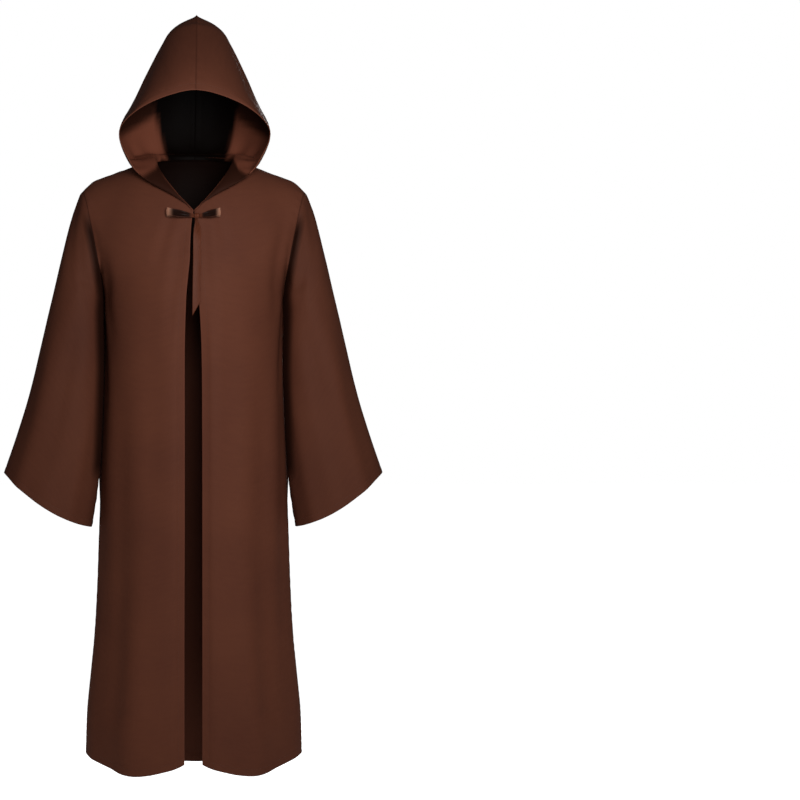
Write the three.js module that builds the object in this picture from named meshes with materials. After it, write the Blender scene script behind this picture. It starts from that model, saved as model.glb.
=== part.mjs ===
// Hooded cloak: an open-fronted robe with bell sleeves, a pointed hood and a ribbon bow at the neck.
// Millimetres, +Z up, the front faces -Y. The origin lies where the shoulders carry the neckline.
// Every cloth piece is one wall: an outer grid of points, thickened inwards.
import * as THREE from 'three';

// Cloth and seams
const CLOTH = 2;
const RIBBON = 1;
const SEAM_GAP = 0.4;

// Neckline, from the nape over the side of the neck to the front corner where the ribbon is tied
const NAPE = { y: 88, z: 24 };
const NECK_SIDE = { x: 84, y: 12, z: 14 };
const NECK_FRONT = { x: 1.6, y: -124, z: -105 };
const NECK_DIP = 0.66;

// Shoulder seam and armhole
const SHOULDER_TIP = { x: 240, y: 2, z: -58 };
const SHOULDER_DROP = 15;
const SHOULDER_TURN = 0.78;
const YOKE_Z = -210;
const UNDERARM_Z = -290;

// Columns and rows of the grids
const NECK_FRONT_STEPS = 6;
const NECK_BACK_STEPS = 5;
const SHOULDER_STEPS = 7;
const SKIRT_ROWS = 11;
const ARMHOLE_ROWS = 4;
const YOKE_ROWS = 7;
const SLEEVE_ROWS = 13;
const HOOD_ROWS = 18;

// Horizontal sections of the body: side seam, how far round it lies (degrees from the centre), depths
const BODY_SECTIONS = [
  { z: -1300, side: 228, turn: 90, front: 170, back: 164, slitRight: 22, slitLeft: 15 },
  { z: -1200, side: 227, turn: 90, front: 168, back: 162, slitRight: 22, slitLeft: 15 },
  { z: -1129, side: 221, turn: 90, front: 166, back: 158, slitRight: 22, slitLeft: 15 },
  { z: -1043, side: 213, turn: 90, front: 164, back: 154, slitRight: 22, slitLeft: 15 },
  { z: -957, side: 206, turn: 90, front: 161, back: 150, slitRight: 22, slitLeft: 15 },
  { z: -785, side: 201, turn: 90, front: 157, back: 142, slitRight: 21, slitLeft: 15 },
  { z: -656, side: 198.5, turn: 90, front: 153, back: 136, slitRight: 21, slitLeft: 15 },
  { z: -505, side: 192.5, turn: 90, front: 149, back: 130, slitRight: 21, slitLeft: 14 },
  { z: -400, side: 190, turn: 90, front: 147, back: 127, slitRight: 21, slitLeft: 12 },
  { z: -290, side: 191, turn: 90, front: 144, back: 125, slitRight: 17, slitLeft: 7 },
  { z: -210, side: 203, turn: 65, front: 138, back: 120, slitRight: 9, slitLeft: 2 },
];

// Hem height round the front panel, from the front edge to the side seam
const FRONT_HEM = [
  { at: 0, z: -1273 },
  { at: 0.05, z: -1281 },
  { at: 0.15, z: -1290 },
  { at: 0.28, z: -1298 },
  { at: 0.42, z: -1295 },
  { at: 0.55, z: -1285 },
  { at: 0.7, z: -1275 },
  { at: 0.85, z: -1263 },
  { at: 1, z: -1248 },
];
const BACK_HEM_CENTRE = -1298;
const BACK_HEM_RISE = 50;

// Soft folds of the skirt: where they lie round the panel, how far they stand out at the hem
const FRONT_FOLDS = [
  { at: 0.3, width: 0.16, out: 9 },
  { at: 0.62, width: 0.1, out: -5 },
  { at: 0.82, width: 0.1, out: 5 },
];
const BACK_FOLDS = [
  { at: 0.14, width: 0.06, out: 5 },
  { at: 0.27, width: 0.06, out: -6 },
  { at: 0.4, width: 0.07, out: 7 },
  { at: 0.53, width: 0.06, out: -5 },
  { at: 0.66, width: 0.07, out: 7 },
  { at: 0.79, width: 0.06, out: -5 },
  { at: 0.9, width: 0.05, out: 4 },
];
const FOLD_TOP_Z = -420;
const FOLD_FULL_Z = -1290;
const EDGE_ROLL = { deep: 9, width: 16, fullZ: -420, goneZ: -150 };
const PANEL_FULLNESS = 0.9;
const YOKE_POWER = 0.8;

// Degrees that a panel has turned over at its top border, and how evenly its columns move inwards
const TURNED_OVER = { neckFront: 55, neckSide: 84, shoulder: 89 };
const STRAIGHT = { neck: 0.3, tip: 0.8 };

// How strongly columns and rows bunch towards a piece's borders
const BUNCH = { front: 0.6, back: 0.35, sleeve: 0.3 };
const RELAX_ROUNDS = 3;

// Sleeve rings from armhole to cuff: outer line, inner line, half depth, forward shift, bow of the cuff
const SLEEVE_RINGS = [
  { at: 0, outX: 241, outZ: -58, inX: 192, inZ: -290, deep: 55, forward: 3, bow: 0 },
  { at: 0.07, outX: 258, outZ: -86, inX: 194.5, inZ: -318, deep: 60, forward: 8, bow: 0 },
  { at: 0.16, outX: 271, outZ: -142, inX: 193.5, inZ: -358, deep: 64, forward: 14, bow: 0 },
  { at: 0.3, outX: 291, outZ: -238, inX: 191.5, inZ: -430, deep: 67, forward: 20, bow: 0 },
  { at: 0.5, outX: 322, outZ: -370, inX: 194, inZ: -530, deep: 70, forward: 24, bow: 1 },
  { at: 0.7, outX: 351, outZ: -492, inX: 198.5, inZ: -630, deep: 74, forward: 25, bow: 5 },
  { at: 0.86, outX: 379, outZ: -584, inX: 206, inZ: -706, deep: 77, forward: 25, bow: 12 },
  { at: 1, outX: 405, outZ: -660, inX: 217, inZ: -776, deep: 80, forward: 25, bow: 19 },
];
const SLEEVE_SET_IN = 0.3;

// Hood rows from the neckline to the top seam: back seam, widest point, front edge, how the row dips
const HOOD_SECTIONS = [
  { backY: 88, backZ: 24, sideX: 84, sideY: 12, sideZ: 14, edgeX: 1.6, edgeY: -124, edgeZ: -105, dip: 0.66 },
  { backY: 93, backZ: 28, sideX: 92, sideY: 13, sideZ: 21, edgeX: 20, edgeY: -124, edgeZ: -88, dip: 0.66 },
  { backY: 104, backZ: 28, sideX: 114, sideY: 14, sideZ: 17, edgeX: 50, edgeY: -116, edgeZ: -68, dip: 0.62 },
  { backY: 114, backZ: 34, sideX: 132, sideY: 11, sideZ: 12, edgeX: 85, edgeY: -102, edgeZ: -48, dip: 0.55 },
  { backY: 122, backZ: 49, sideX: 143, sideY: 7, sideZ: 18, edgeX: 117, edgeY: -91, edgeZ: -26, dip: 0.45 },
  { backY: 128, backZ: 72, sideX: 152, sideY: 0, sideZ: 33, edgeX: 136, edgeY: -89, edgeZ: 1, dip: 0.35 },
  { backY: 132, backZ: 103, sideX: 159, sideY: -10, sideZ: 54, edgeX: 154, edgeY: -94, edgeZ: 36, dip: 0.25 },
  { backY: 132, backZ: 140, sideX: 161, sideY: -24, sideZ: 80, edgeX: 161, edgeY: -101, edgeZ: 66, dip: 0.2 },
  { backY: 127, backZ: 184, sideX: 145, sideY: -30, sideZ: 110, edgeX: 149, edgeY: -112, edgeZ: 94, dip: 0.2 },
  { backY: 116, backZ: 230, sideX: 119, sideY: -25, sideZ: 158, edgeX: 115, edgeY: -127, edgeZ: 123, dip: 0.3 },
  { backY: 99, backZ: 272, sideX: 96, sideY: -14, sideZ: 206, edgeX: 74, edgeY: -136, edgeZ: 143, dip: 0.4 },
  { backY: 80, backZ: 302, sideX: 74, sideY: -6, sideZ: 248, edgeX: 40, edgeY: -141, edgeZ: 154, dip: 0.4 },
  { backY: 60, backZ: 317, sideX: 50, sideY: -14, sideZ: 282, edgeX: 17, edgeY: -142, edgeZ: 158.5, dip: 0.4 },
  { backY: 40, backZ: 325, sideX: 0, sideY: -25, sideZ: 296, edgeX: 0, edgeY: -142, edgeZ: 160, dip: 0.4 },
];
const HOOD_CLEAR = 2.5;
const HOOD_CLEAR_ROWS = 6;
const HOOD_NEAR = 30;
const HOOD_SUNK = 14;
const HOOD_LEAN = 6;
const HOOD_LEAN_FROM = -105;
const HOOD_LEAN_TO = 325;
const HOOD_ROUND_WIDTH = 60;

// Ribbon bow
const RIBBON_WIDTH = 17;
const KNOT = { x: 6, y: -132.3, z: -109, across: 6.2, deep: 5, high: 6.4 };
// The loop's reach and height, how blunt its end is, and how far its back layer sags below the front one
const BOW_LOOP = { reach: 51, rise: 9, forward: 1.8, deep: 5, across: 19, blunt: 2.2, wrap: 1.15, sag: 2.2 };
const BOW_LOOP_STEPS = 18;
const BOW_LOOP_PINCH = { width: 0.5, depth: 0.65, until: 0.6, bite: 0.4 };
const RIBBON_LINES = [-1, -0.5, 0, 0.5, 1];
const TAILS = [
  { name: 'ribbon_tail_left', x: 6.5, tip: -327, proud: 3.6, twist: 0.9, cut: 30 },
  { name: 'ribbon_tail_right', x: 9, tip: -299, proud: 1.7, twist: 0, cut: 26 },
];
const TAIL = { rows: 16, open: 0.16, untwist: 0.3, narrow: 0.3, lift: 2 };

const CLOTH_COLOUR = 0x57332a;
const RIBBON_COLOUR = 0x6a3f30;
const clothMaterial = new THREE.MeshStandardMaterial({ color: CLOTH_COLOUR, roughness: 0.75, metalness: 0 });
const ribbonMaterial = new THREE.MeshStandardMaterial({ color: RIBBON_COLOUR, roughness: 0.4, metalness: 0 });

const QUARTER = Math.PI / 2;
const radians = THREE.MathUtils.degToRad;
const smooth = THREE.MathUtils.smoothstep;
const mix = THREE.MathUtils.lerp;

// A row of a table at any place, by a smooth curve through the rows' columns
function rowAt(table, by, place) {
  const ordered = table[0][by] <= table[table.length - 1][by] ? table : [...table].reverse();
  const last = ordered.length - 1;
  const found = ordered.findIndex((row) => row[by] >= place);
  const high = Math.min(Math.max(found < 0 ? last : found, 1), last);
  const [a, b] = [ordered[high - 1], ordered[high]];
  const before = ordered[Math.max(high - 2, 0)];
  const after = ordered[Math.min(high + 1, last)];
  const span = b[by] - a[by];
  const t = THREE.MathUtils.clamp((place - a[by]) / span, 0, 1);
  const row = {};
  for (const key of Object.keys(a)) {
    const slopeA = ((b[key] - before[key]) / (b[by] - before[by])) * span;
    const slopeB = ((after[key] - a[key]) / (after[by] - a[by])) * span;
    row[key] =
      (2 * t ** 3 - 3 * t ** 2 + 1) * a[key] +
      (t ** 3 - 2 * t ** 2 + t) * slopeA +
      (3 * t ** 2 - 2 * t ** 3) * b[key] +
      (t ** 3 - t ** 2) * slopeB;
  }
  return row;
}

// Outward direction at a point of the outer grid, from its neighbours
function gridNormal(grid, i, j, closed, facing) {
  const rows = grid.length;
  const columns = grid[0].length;
  const up = grid[Math.min(i + 1, rows - 1)][j];
  const down = grid[Math.max(i - 1, 0)][j];
  const next = closed ? grid[i][(j + 1) % columns] : grid[i][Math.min(j + 1, columns - 1)];
  const back = closed ? grid[i][(j + columns - 1) % columns] : grid[i][Math.max(j - 1, 0)];
  const along = new THREE.Vector3().subVectors(next, back);
  const rise = new THREE.Vector3().subVectors(up, down);
  return along.cross(rise).normalize().multiplyScalar(facing);
}

// One wall of cloth: the outer grid (rows of points), the inner one behind it, and its border
function cloth(name, grid, { wall = CLOTH, closed = false, facing = 1, material = clothMaterial, steer } = {}) {
  const rows = grid.length;
  const columns = grid[0].length;
  const outer = grid.flat();
  const inner = grid.flatMap((row, i) =>
    row.map((point, j) => {
      const normal = gridNormal(grid, i, j, closed, facing);
      if (steer) steer(normal, i, j);
      return point.clone().addScaledVector(normal, -wall);
    }),
  );
  const points = [...outer, ...inner];
  const at = (i, j, side) => side * outer.length + i * columns + (j % columns);
  const faces = [];
  const quad = (a, b, c, d) => faces.push(a, b, c, a, c, d);
  const apart = (a, b) => points[a].distanceTo(points[b]);
  const wide = closed ? columns : columns - 1;
  for (let i = 0; i < rows - 1; i++) {
    for (let j = 0; j < wide; j++) {
      const [[a, b, c, d], [e, f, g, h]] = [0, 1].map((side) => [
        at(i, j, side),
        at(i, j + 1, side),
        at(i + 1, j + 1, side),
        at(i + 1, j, side),
      ]);
      // Both sides are split along the outer side's shorter diagonal, so that the wall stays even
      if (apart(a, c) <= apart(b, d)) {
        quad(a, b, c, d);
        quad(e, h, g, f);
      } else {
        quad(b, c, d, a);
        quad(f, e, h, g);
      }
    }
  }
  for (let j = 0; j < wide; j++) {
    quad(at(0, j, 0), at(0, j, 1), at(0, j + 1, 1), at(0, j + 1, 0));
    quad(at(rows - 1, j, 0), at(rows - 1, j + 1, 0), at(rows - 1, j + 1, 1), at(rows - 1, j, 1));
  }
  if (!closed) {
    const end = columns - 1;
    for (let i = 0; i < rows - 1; i++) {
      quad(at(i, 0, 0), at(i + 1, 0, 0), at(i + 1, 0, 1), at(i, 0, 1));
      quad(at(i, end, 0), at(i, end, 1), at(i + 1, end, 1), at(i + 1, end, 0));
    }
  }
  if (facing < 0) {
    for (let k = 0; k < faces.length; k += 3) [faces[k], faces[k + 1]] = [faces[k + 1], faces[k]];
  }
  const geometry = new THREE.BufferGeometry();
  geometry.setAttribute('position', new THREE.Float32BufferAttribute(points.flatMap((p) => [p.x, p.y, p.z]), 3));
  geometry.setIndex(faces);
  const mesh = new THREE.Mesh(geometry, material);
  mesh.name = name;
  return mesh;
}

const mirrored = (grid) => grid.map((row) => row.map((p) => new THREE.Vector3(-p.x, p.y, p.z)));

// Neckline in front of the side of the neck: 0 at the side, 1 at the front corner
function neckFront(t) {
  const angle = t * QUARTER;
  const fall = (1 - NECK_DIP) * Math.sin(angle) + NECK_DIP * (1 - Math.cos(angle));
  return new THREE.Vector3(
    NECK_FRONT.x + (NECK_SIDE.x - NECK_FRONT.x) * Math.cos(angle),
    mix(NECK_SIDE.y, NECK_FRONT.y, Math.sin(angle)),
    mix(NECK_SIDE.z, NECK_FRONT.z, fall),
  );
}

// Neckline behind the side of the neck: 0 at the nape, 1 at the side
function neckBack(t) {
  const angle = t * QUARTER;
  return new THREE.Vector3(
    NECK_SIDE.x * Math.sin(angle),
    mix(NECK_SIDE.y, NAPE.y, Math.cos(angle)),
    mix(NECK_SIDE.z, NAPE.z, Math.cos(angle)),
  );
}

// Shoulder seam: 0 at the side of the neck, 1 at the shoulder's tip
function shoulderSeam(t) {
  const bend = Math.max(0, (t - SHOULDER_TURN) / (1 - SHOULDER_TURN)) ** 2 * SHOULDER_DROP;
  const straightEnd = SHOULDER_TIP.z + SHOULDER_DROP;
  return new THREE.Vector3(
    mix(NECK_SIDE.x, SHOULDER_TIP.x, t),
    mix(NECK_SIDE.y, SHOULDER_TIP.y, t),
    mix(NECK_SIDE.z, straightEnd, t) - bend,
  );
}

// How far the skirt's folds stand out at a place round a panel and a height
function foldOut(folds, at, z) {
  const grow = 1 - smooth(z, FOLD_FULL_Z, FOLD_TOP_Z);
  return grow * folds.reduce((sum, f) => sum + f.out * Math.exp(-(((at - f.at) / f.width) ** 2)), 0);
}

// Columns bunched towards both ends, where the cloth turns most
const bunched = (s, share) => s - (share * Math.sin(2 * Math.PI * s)) / (2 * Math.PI);

// Front panel's horizontal section: 0 at the front edge, 1 at the side seam or armhole
function frontRing(at, z, slit) {
  const section = rowAt(BODY_SECTIONS, 'z', z);
  const turn = radians(section.turn);
  const half = section.side / Math.sin(turn);
  const edge = section[slit];
  const angle = mix(Math.asin(edge / half), turn, at);
  const x = half * Math.sin(angle);
  const fromEdge = Math.exp(-(((x - edge) / EDGE_ROLL.width) ** 2));
  const roll = EDGE_ROLL.deep * fromEdge * (1 - smooth(z, EDGE_ROLL.fullZ, EDGE_ROLL.goneZ));
  const out = foldOut(FRONT_FOLDS, at, z);
  const deep = section.front * Math.max(0, Math.cos(angle)) ** PANEL_FULLNESS;
  return new THREE.Vector3(x + out * Math.sin(angle), -deep + roll - out * Math.cos(angle), z);
}

// Back panel's horizontal section: 0 at the wearer's right side, 1 at the left side
function backRing(at, z) {
  const section = rowAt(BODY_SECTIONS, 'z', z);
  const turn = radians(section.turn);
  const half = section.side / Math.sin(turn);
  const angle = mix(-turn, turn, at);
  const out = foldOut(BACK_FOLDS, at, z);
  const deep = section.back * Math.max(0, Math.cos(angle)) ** PANEL_FULLNESS;
  return new THREE.Vector3(
    half * Math.sin(angle) + out * Math.sin(angle),
    deep + out * Math.cos(angle),
    z,
  );
}

// Grid of a body panel: hem to underarm, underarm to yoke, then rounding over to its top border
function panelGrid(ring, hem, top, ats) {
  const grid = [];
  for (let i = 0; i < SKIRT_ROWS; i++) {
    grid.push(ats.map((at) => ring(at, mix(hem(at), UNDERARM_Z, i / SKIRT_ROWS))));
  }
  for (let i = 0; i < ARMHOLE_ROWS; i++) {
    grid.push(ats.map((at) => ring(at, mix(UNDERARM_Z, YOKE_Z, i / ARMHOLE_ROWS))));
  }
  for (let i = 0; i <= YOKE_ROWS; i++) {
    grid.push(
      ats.map((at, j) => {
        const start = ring(at, YOKE_Z);
        const end = top[j];
        const over = radians(end.over);
        const angle = (over * i) / YOKE_ROWS;
        const rise = (Math.sin(angle) / Math.sin(over)) ** YOKE_POWER;
        const inwards = (1 - Math.cos(angle) ** YOKE_POWER) / (1 - Math.cos(over) ** YOKE_POWER);
        return new THREE.Vector3(
          mix(start.x, end.point.x, mix(inwards, rise, end.straight)),
          mix(start.y, end.point.y, inwards),
          mix(YOKE_Z, end.point.z, rise),
        );
      }),
    );
  }
  return relaxed(grid);
}

// Evens out the yoke as cloth does: each inner point moves towards the middle of its neighbours
function relaxed(grid) {
  let now = grid;
  for (let round = 0; round < RELAX_ROUNDS; round++) {
    const was = now;
    now = was.map((row, i) =>
      row.map((p, j) => {
        const fixed = i <= SKIRT_ROWS || i === was.length - 1 || j === 0 || j === row.length - 1;
        if (fixed) return p;
        const around = [was[i - 1][j], was[i + 1][j], row[j - 1], row[j + 1]];
        const middle = around.reduce((sum, q) => sum.add(q), new THREE.Vector3()).divideScalar(4);
        return p.clone().lerp(middle, 0.5);
      }),
    );
  }
  return now;
}

// Where a column of a panel ends on the neckline: 0 at its side, 1 at the front corner
function neckStop(point, t) {
  return { point, over: mix(TURNED_OVER.neckSide, TURNED_OVER.neckFront, t), straight: STRAIGHT.neck };
}

// Where a column of a panel ends on the shoulder seam: 0 at the neck, 1 at the tip
function shoulderStop(t) {
  return { point: shoulderSeam(t), over: TURNED_OVER.shoulder, straight: mix(STRAIGHT.neck, STRAIGHT.tip, t) };
}

function frontGrid(slit) {
  const total = NECK_FRONT_STEPS + SHOULDER_STEPS;
  const steps = [...Array(total + 1).keys()];
  const ats = steps.map((j) => bunched(j / total, BUNCH.front));
  const top = steps.map((j) =>
    j <= NECK_FRONT_STEPS
      ? neckStop(neckFront(1 - j / NECK_FRONT_STEPS), 1 - j / NECK_FRONT_STEPS)
      : shoulderStop((j - NECK_FRONT_STEPS) / SHOULDER_STEPS),
  );
  const ring = (at, z) => frontRing(at, z, slit);
  const hem = (at) => rowAt(FRONT_HEM, 'at', at).z;
  const grid = panelGrid(ring, hem, top, ats);
  return grid.map((row) => row.map((p) => p.setY(p.y - SEAM_GAP / 2)));
}

function backGrid() {
  const total = 2 * (NECK_BACK_STEPS + SHOULDER_STEPS);
  const steps = [...Array(total + 1).keys()];
  const ats = steps.map((j) => bunched(j / total, BUNCH.back));
  const top = steps.map((j) => {
    const fromCentre = Math.abs(j - total / 2);
    const stop =
      fromCentre <= NECK_BACK_STEPS
        ? neckStop(neckBack(fromCentre / NECK_BACK_STEPS), 0)
        : shoulderStop((fromCentre - NECK_BACK_STEPS) / SHOULDER_STEPS);
    stop.point.x *= Math.sign(j - total / 2);
    return stop;
  });
  const hem = (at) => BACK_HEM_CENTRE + BACK_HEM_RISE * Math.sin((at - 0.5) * Math.PI) ** 2;
  const grid = panelGrid(backRing, hem, top, ats);
  return grid.map((row) => row.map((p) => p.setY(p.y + SEAM_GAP / 2)));
}

// Points of the armhole, from the underarm up the front, over the shoulder's tip and down the back
function armhole(front, back) {
  const rise = front.slice(SKIRT_ROWS).map((row) => row[row.length - 1]);
  const fall = back.slice(SKIRT_ROWS).map((row) => row[row.length - 1]);
  const middle = (a, b) => a.clone().lerp(b, 0.5);
  const underarm = middle(rise[0], fall[0]);
  const tip = middle(rise[rise.length - 1], fall[fall.length - 1]);
  return [underarm, ...rise.slice(1, -1), tip, ...fall.slice(1, -1).reverse()];
}

// Sleeve on the +X side: rings that leave the armhole's own points and open out to the cuff
function sleeveGrid(front, back) {
  const loop = armhole(front, back);
  const half = loop.length / 2;
  const away = new THREE.Vector3(SEAM_GAP, 0, 0);
  const grid = [];
  for (let i = 0; i <= SLEEVE_ROWS; i++) {
    const at = bunched(i / SLEEVE_ROWS, BUNCH.sleeve);
    const ring = rowAt(SLEEVE_RINGS, 'at', at);
    const set = smooth(at, 0, SLEEVE_SET_IN);
    grid.push(
      loop.map((start, j) => {
        const angle = Math.PI * (1 - j / half);
        const across = (1 - Math.cos(angle)) / 2;
        const deep = Math.sin(angle);
        const point = new THREE.Vector3(
          mix(ring.outX, ring.inX, across),
          -ring.forward * set - ring.deep * deep,
          mix(ring.outZ, ring.inZ, across) - ring.bow * deep ** 2,
        );
        return start.clone().add(away).lerp(point, set);
      }),
    );
  }
  return grid;
}

// One row of the hood from the back seam over the widest point to the front edge. Its columns lie on a
// round section, or evenly where the row closes on the top seam.
function hoodRow(section) {
  const { backY, backZ, sideX, sideY, sideZ, edgeX, edgeY, edgeZ, dip } = section;
  const row = [];
  const round = Math.min(1, sideX / HOOD_ROUND_WIDTH);
  for (let j = 0; j < NECK_BACK_STEPS; j++) {
    const angle = (QUARTER * j) / NECK_BACK_STEPS;
    const toBack = mix(1 - j / NECK_BACK_STEPS, Math.cos(angle), round);
    row.push(new THREE.Vector3(sideX * Math.sin(angle), mix(sideY, backY, toBack), mix(sideZ, backZ, toBack)));
  }
  for (let j = 0; j <= NECK_FRONT_STEPS; j++) {
    const angle = (QUARTER * j) / NECK_FRONT_STEPS;
    const fall = (1 - dip) * Math.sin(angle) + dip * (1 - Math.cos(angle));
    row.push(
      new THREE.Vector3(
        mix(edgeX, sideX, Math.cos(angle)),
        mix(sideY, edgeY, Math.sin(angle)),
        mix(sideZ, edgeZ, fall),
      ),
    );
  }
  return row;
}

// Moves a point out until it stands clear of the panels that it hangs over
function standClear(point, panels) {
  for (const { grid, facing } of panels) {
    let nearest = { distance: Infinity };
    grid.forEach((row, i) =>
      row.forEach((spot, j) => {
        const distance = spot.distanceTo(point);
        if (distance < nearest.distance) nearest = { distance, spot, i, j };
      }),
    );
    const normal = gridNormal(grid, nearest.i, nearest.j, false, facing);
    const proud = point.clone().sub(nearest.spot).dot(normal);
    const near = nearest.distance < HOOD_NEAR && Math.abs(proud) < HOOD_SUNK;
    if (near && proud < HOOD_CLEAR) point.addScaledVector(normal, HOOD_CLEAR - proud);
  }
}

// Hood half on the side that sign gives, leaning as the photo's hood does
function hoodGrid(sign, panels) {
  const table = HOOD_SECTIONS.map((row, k) => ({ at: k / (HOOD_SECTIONS.length - 1), ...row }));
  const grid = [];
  for (let i = 0; i <= HOOD_ROWS; i++) {
    const section = rowAt(table, 'at', i / HOOD_ROWS);
    grid.push(hoodRow(section));
  }
  for (const row of grid) {
    for (const p of row) {
      p.x = sign * (Math.max(p.x, 0) + SEAM_GAP / 2) + HOOD_LEAN * smooth(p.z, HOOD_LEAN_FROM, HOOD_LEAN_TO);
      p.z += SEAM_GAP;
    }
  }
  for (const row of grid.slice(1, HOOD_CLEAR_ROWS)) {
    for (const p of row) standClear(p, panels);
  }
  return grid;
}

// The chest's outer surface beside the front edges at a height
function chestY(z) {
  if (z <= YOKE_Z) return -rowAt(BODY_SECTIONS, 'z', z).front;
  const over = radians(TURNED_OVER.neckFront);
  const rise = Math.min(1, (z - YOKE_Z) / (NECK_FRONT.z - YOKE_Z)) ** (1 / YOKE_POWER);
  const angle = Math.asin(rise * Math.sin(over));
  const start = -rowAt(BODY_SECTIONS, 'z', YOKE_Z).front;
  const inwards = (1 - Math.cos(angle) ** YOKE_POWER) / (1 - Math.cos(over) ** YOKE_POWER);
  return mix(start, NECK_FRONT.y, inwards);
}

// One loop of the bow: out from the knot behind, round its end, and back in front
function bowLoop(name, sign) {
  const { reach, rise, forward, deep, across, blunt, wrap, sag } = BOW_LOOP;
  const pinch = BOW_LOOP_PINCH;
  const start = KNOT.x + sign * (KNOT.across - pinch.bite + SEAM_GAP);
  const grid = [];
  for (let i = 0; i <= BOW_LOOP_STEPS; i++) {
    const turn = mix(-1, 1, i / BOW_LOOP_STEPS);
    const out = 1 - Math.abs(turn) ** blunt;
    const layer = deep * Math.sin((-turn * Math.PI) / wrap) * mix(pinch.depth, 1, Math.sqrt(out));
    const half = (across / 2) * mix(pinch.width, 1, smooth(out, 0, pinch.until));
    const behind = turn < 0 ? sag * out : 0;
    const middle = new THREE.Vector3(
      start + sign * reach * out,
      KNOT.y - forward + layer,
      KNOT.z + rise * out - behind,
    );
    grid.push(RIBBON_LINES.map((line) => middle.clone().setZ(middle.z + line * half)));
  }
  return cloth(name, grid, { wall: RIBBON, facing: sign, material: ribbonMaterial });
}

// One free end of the ribbon: it leaves the knot narrow and turned, then hangs flat to a slanted cut
function ribbonTail({ name, x, tip, proud, twist, cut }) {
  const top = KNOT.z - KNOT.high - SEAM_GAP;
  const grid = [];
  for (let i = 0; i <= TAIL.rows; i++) {
    const t = i / TAIL.rows;
    const open = smooth(t, 0, TAIL.open);
    const turned = twist * (1 - smooth(t, 0, TAIL.untwist));
    const half = (RIBBON_WIDTH / 2) * mix(TAIL.narrow, 1, open);
    const centre = mix(KNOT.x, x, open);
    grid.push(
      RIBBON_LINES.map((line) => {
        const share = (line + 1) / 2;
        const z = mix(top, tip + cut * share, t);
        const y = chestY(z) - proud - (1 - open) * TAIL.lift;
        const turnedOut = Math.sin(turned) * half * share;
        return new THREE.Vector3(centre + line * half * Math.cos(turned), y - turnedOut, z);
      }),
    );
  }
  return cloth(name, grid, { wall: RIBBON, facing: -1, material: ribbonMaterial });
}

function bowKnot() {
  const shape = new THREE.SphereGeometry(1, 14, 10);
  shape.scale(KNOT.across, KNOT.deep, KNOT.high);
  const mesh = new THREE.Mesh(shape, ribbonMaterial);
  mesh.position.set(KNOT.x, KNOT.y, KNOT.z);
  mesh.name = 'bow_knot';
  return mesh;
}

// At a seam the wall's edge stands square to it, so that the two pieces keep their gap inside too
function squareAcross(axis, onSeam) {
  return (normal, i, j) => {
    if (onSeam(i, j)) normal.setComponent(axis, 0).normalize();
  };
}
const X_AXIS = 0;
const Y_AXIS = 1;
const TOP_ROW = SKIRT_ROWS + ARMHOLE_ROWS + YOKE_ROWS;
const FRONT_LAST = NECK_FRONT_STEPS + SHOULDER_STEPS;
const BACK_LAST = 2 * (NECK_BACK_STEPS + SHOULDER_STEPS);
const frontSeams = squareAcross(
  Y_AXIS,
  (i, j) => (i <= SKIRT_ROWS && j === FRONT_LAST) || (i === TOP_ROW && j >= NECK_FRONT_STEPS),
);
const backSeams = squareAcross(Y_AXIS, (i, j) => {
  const onSide = i <= SKIRT_ROWS && (j === 0 || j === BACK_LAST);
  const onShoulder = i === TOP_ROW && (j <= SHOULDER_STEPS || j >= BACK_LAST - SHOULDER_STEPS);
  return onSide || onShoulder;
});
const hoodEdges = squareAcross(X_AXIS, (i, j) => j === 0 || i === HOOD_ROWS);
// At the hood's tip its two seams meet, and the wall is thickened straight down
const hoodSeams = (normal, i, j) => {
  if (i === HOOD_ROWS && j === 0) normal.set(0, 0, 1);
  else hoodEdges(normal, i, j);
};

const cloak = new THREE.Group();
const frontLeft = frontGrid('slitLeft');
const frontRight = frontGrid('slitRight');
const back = backGrid();
cloak.add(cloth('front_left', frontLeft, { steer: frontSeams }));
cloak.add(cloth('front_right', mirrored(frontRight), { facing: -1, steer: frontSeams }));
cloak.add(cloth('back', back, { facing: -1, steer: backSeams }));

// A sleeve's first ring is thickened straight across the armhole, so that it clears the panels' edges
const sleeve = sleeveGrid(frontLeft, back);
const armholeEdge = (sign) => (normal, i) => {
  if (i === 0) normal.setX(sign * Math.min(0, sign * normal.x)).normalize();
};
cloak.add(cloth('sleeve_left', sleeve, { closed: true, facing: -1, steer: armholeEdge(1) }));
cloak.add(cloth('sleeve_right', mirrored(sleeve), { closed: true, steer: armholeEdge(-1) }));

const backSide = { grid: back, facing: -1 };
const hoodLeft = hoodGrid(1, [{ grid: frontLeft, facing: 1 }, backSide]);
const hoodRight = hoodGrid(-1, [{ grid: mirrored(frontRight), facing: -1 }, backSide]);
cloak.add(cloth('hood_left', hoodLeft, { facing: -1, steer: hoodSeams }));
cloak.add(cloth('hood_right', hoodRight, { steer: hoodSeams }));

cloak.add(bowKnot());
cloak.add(bowLoop('bow_loop_left', 1));
cloak.add(bowLoop('bow_loop_right', -1));
for (const tail of TAILS) cloak.add(ribbonTail(tail));

export default cloak;
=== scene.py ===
"""Hooded cloak with bell sleeves and a ribbon bow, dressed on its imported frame.

The tables are in millimetres, as the maker would measure them. Meshes are built in metres.
The front faces -Y, and the wearer's left is +X.
"""

import logging
import math
from collections.abc import Callable, Sequence
from dataclasses import dataclass, fields
from enum import Enum
from functools import partial

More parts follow.
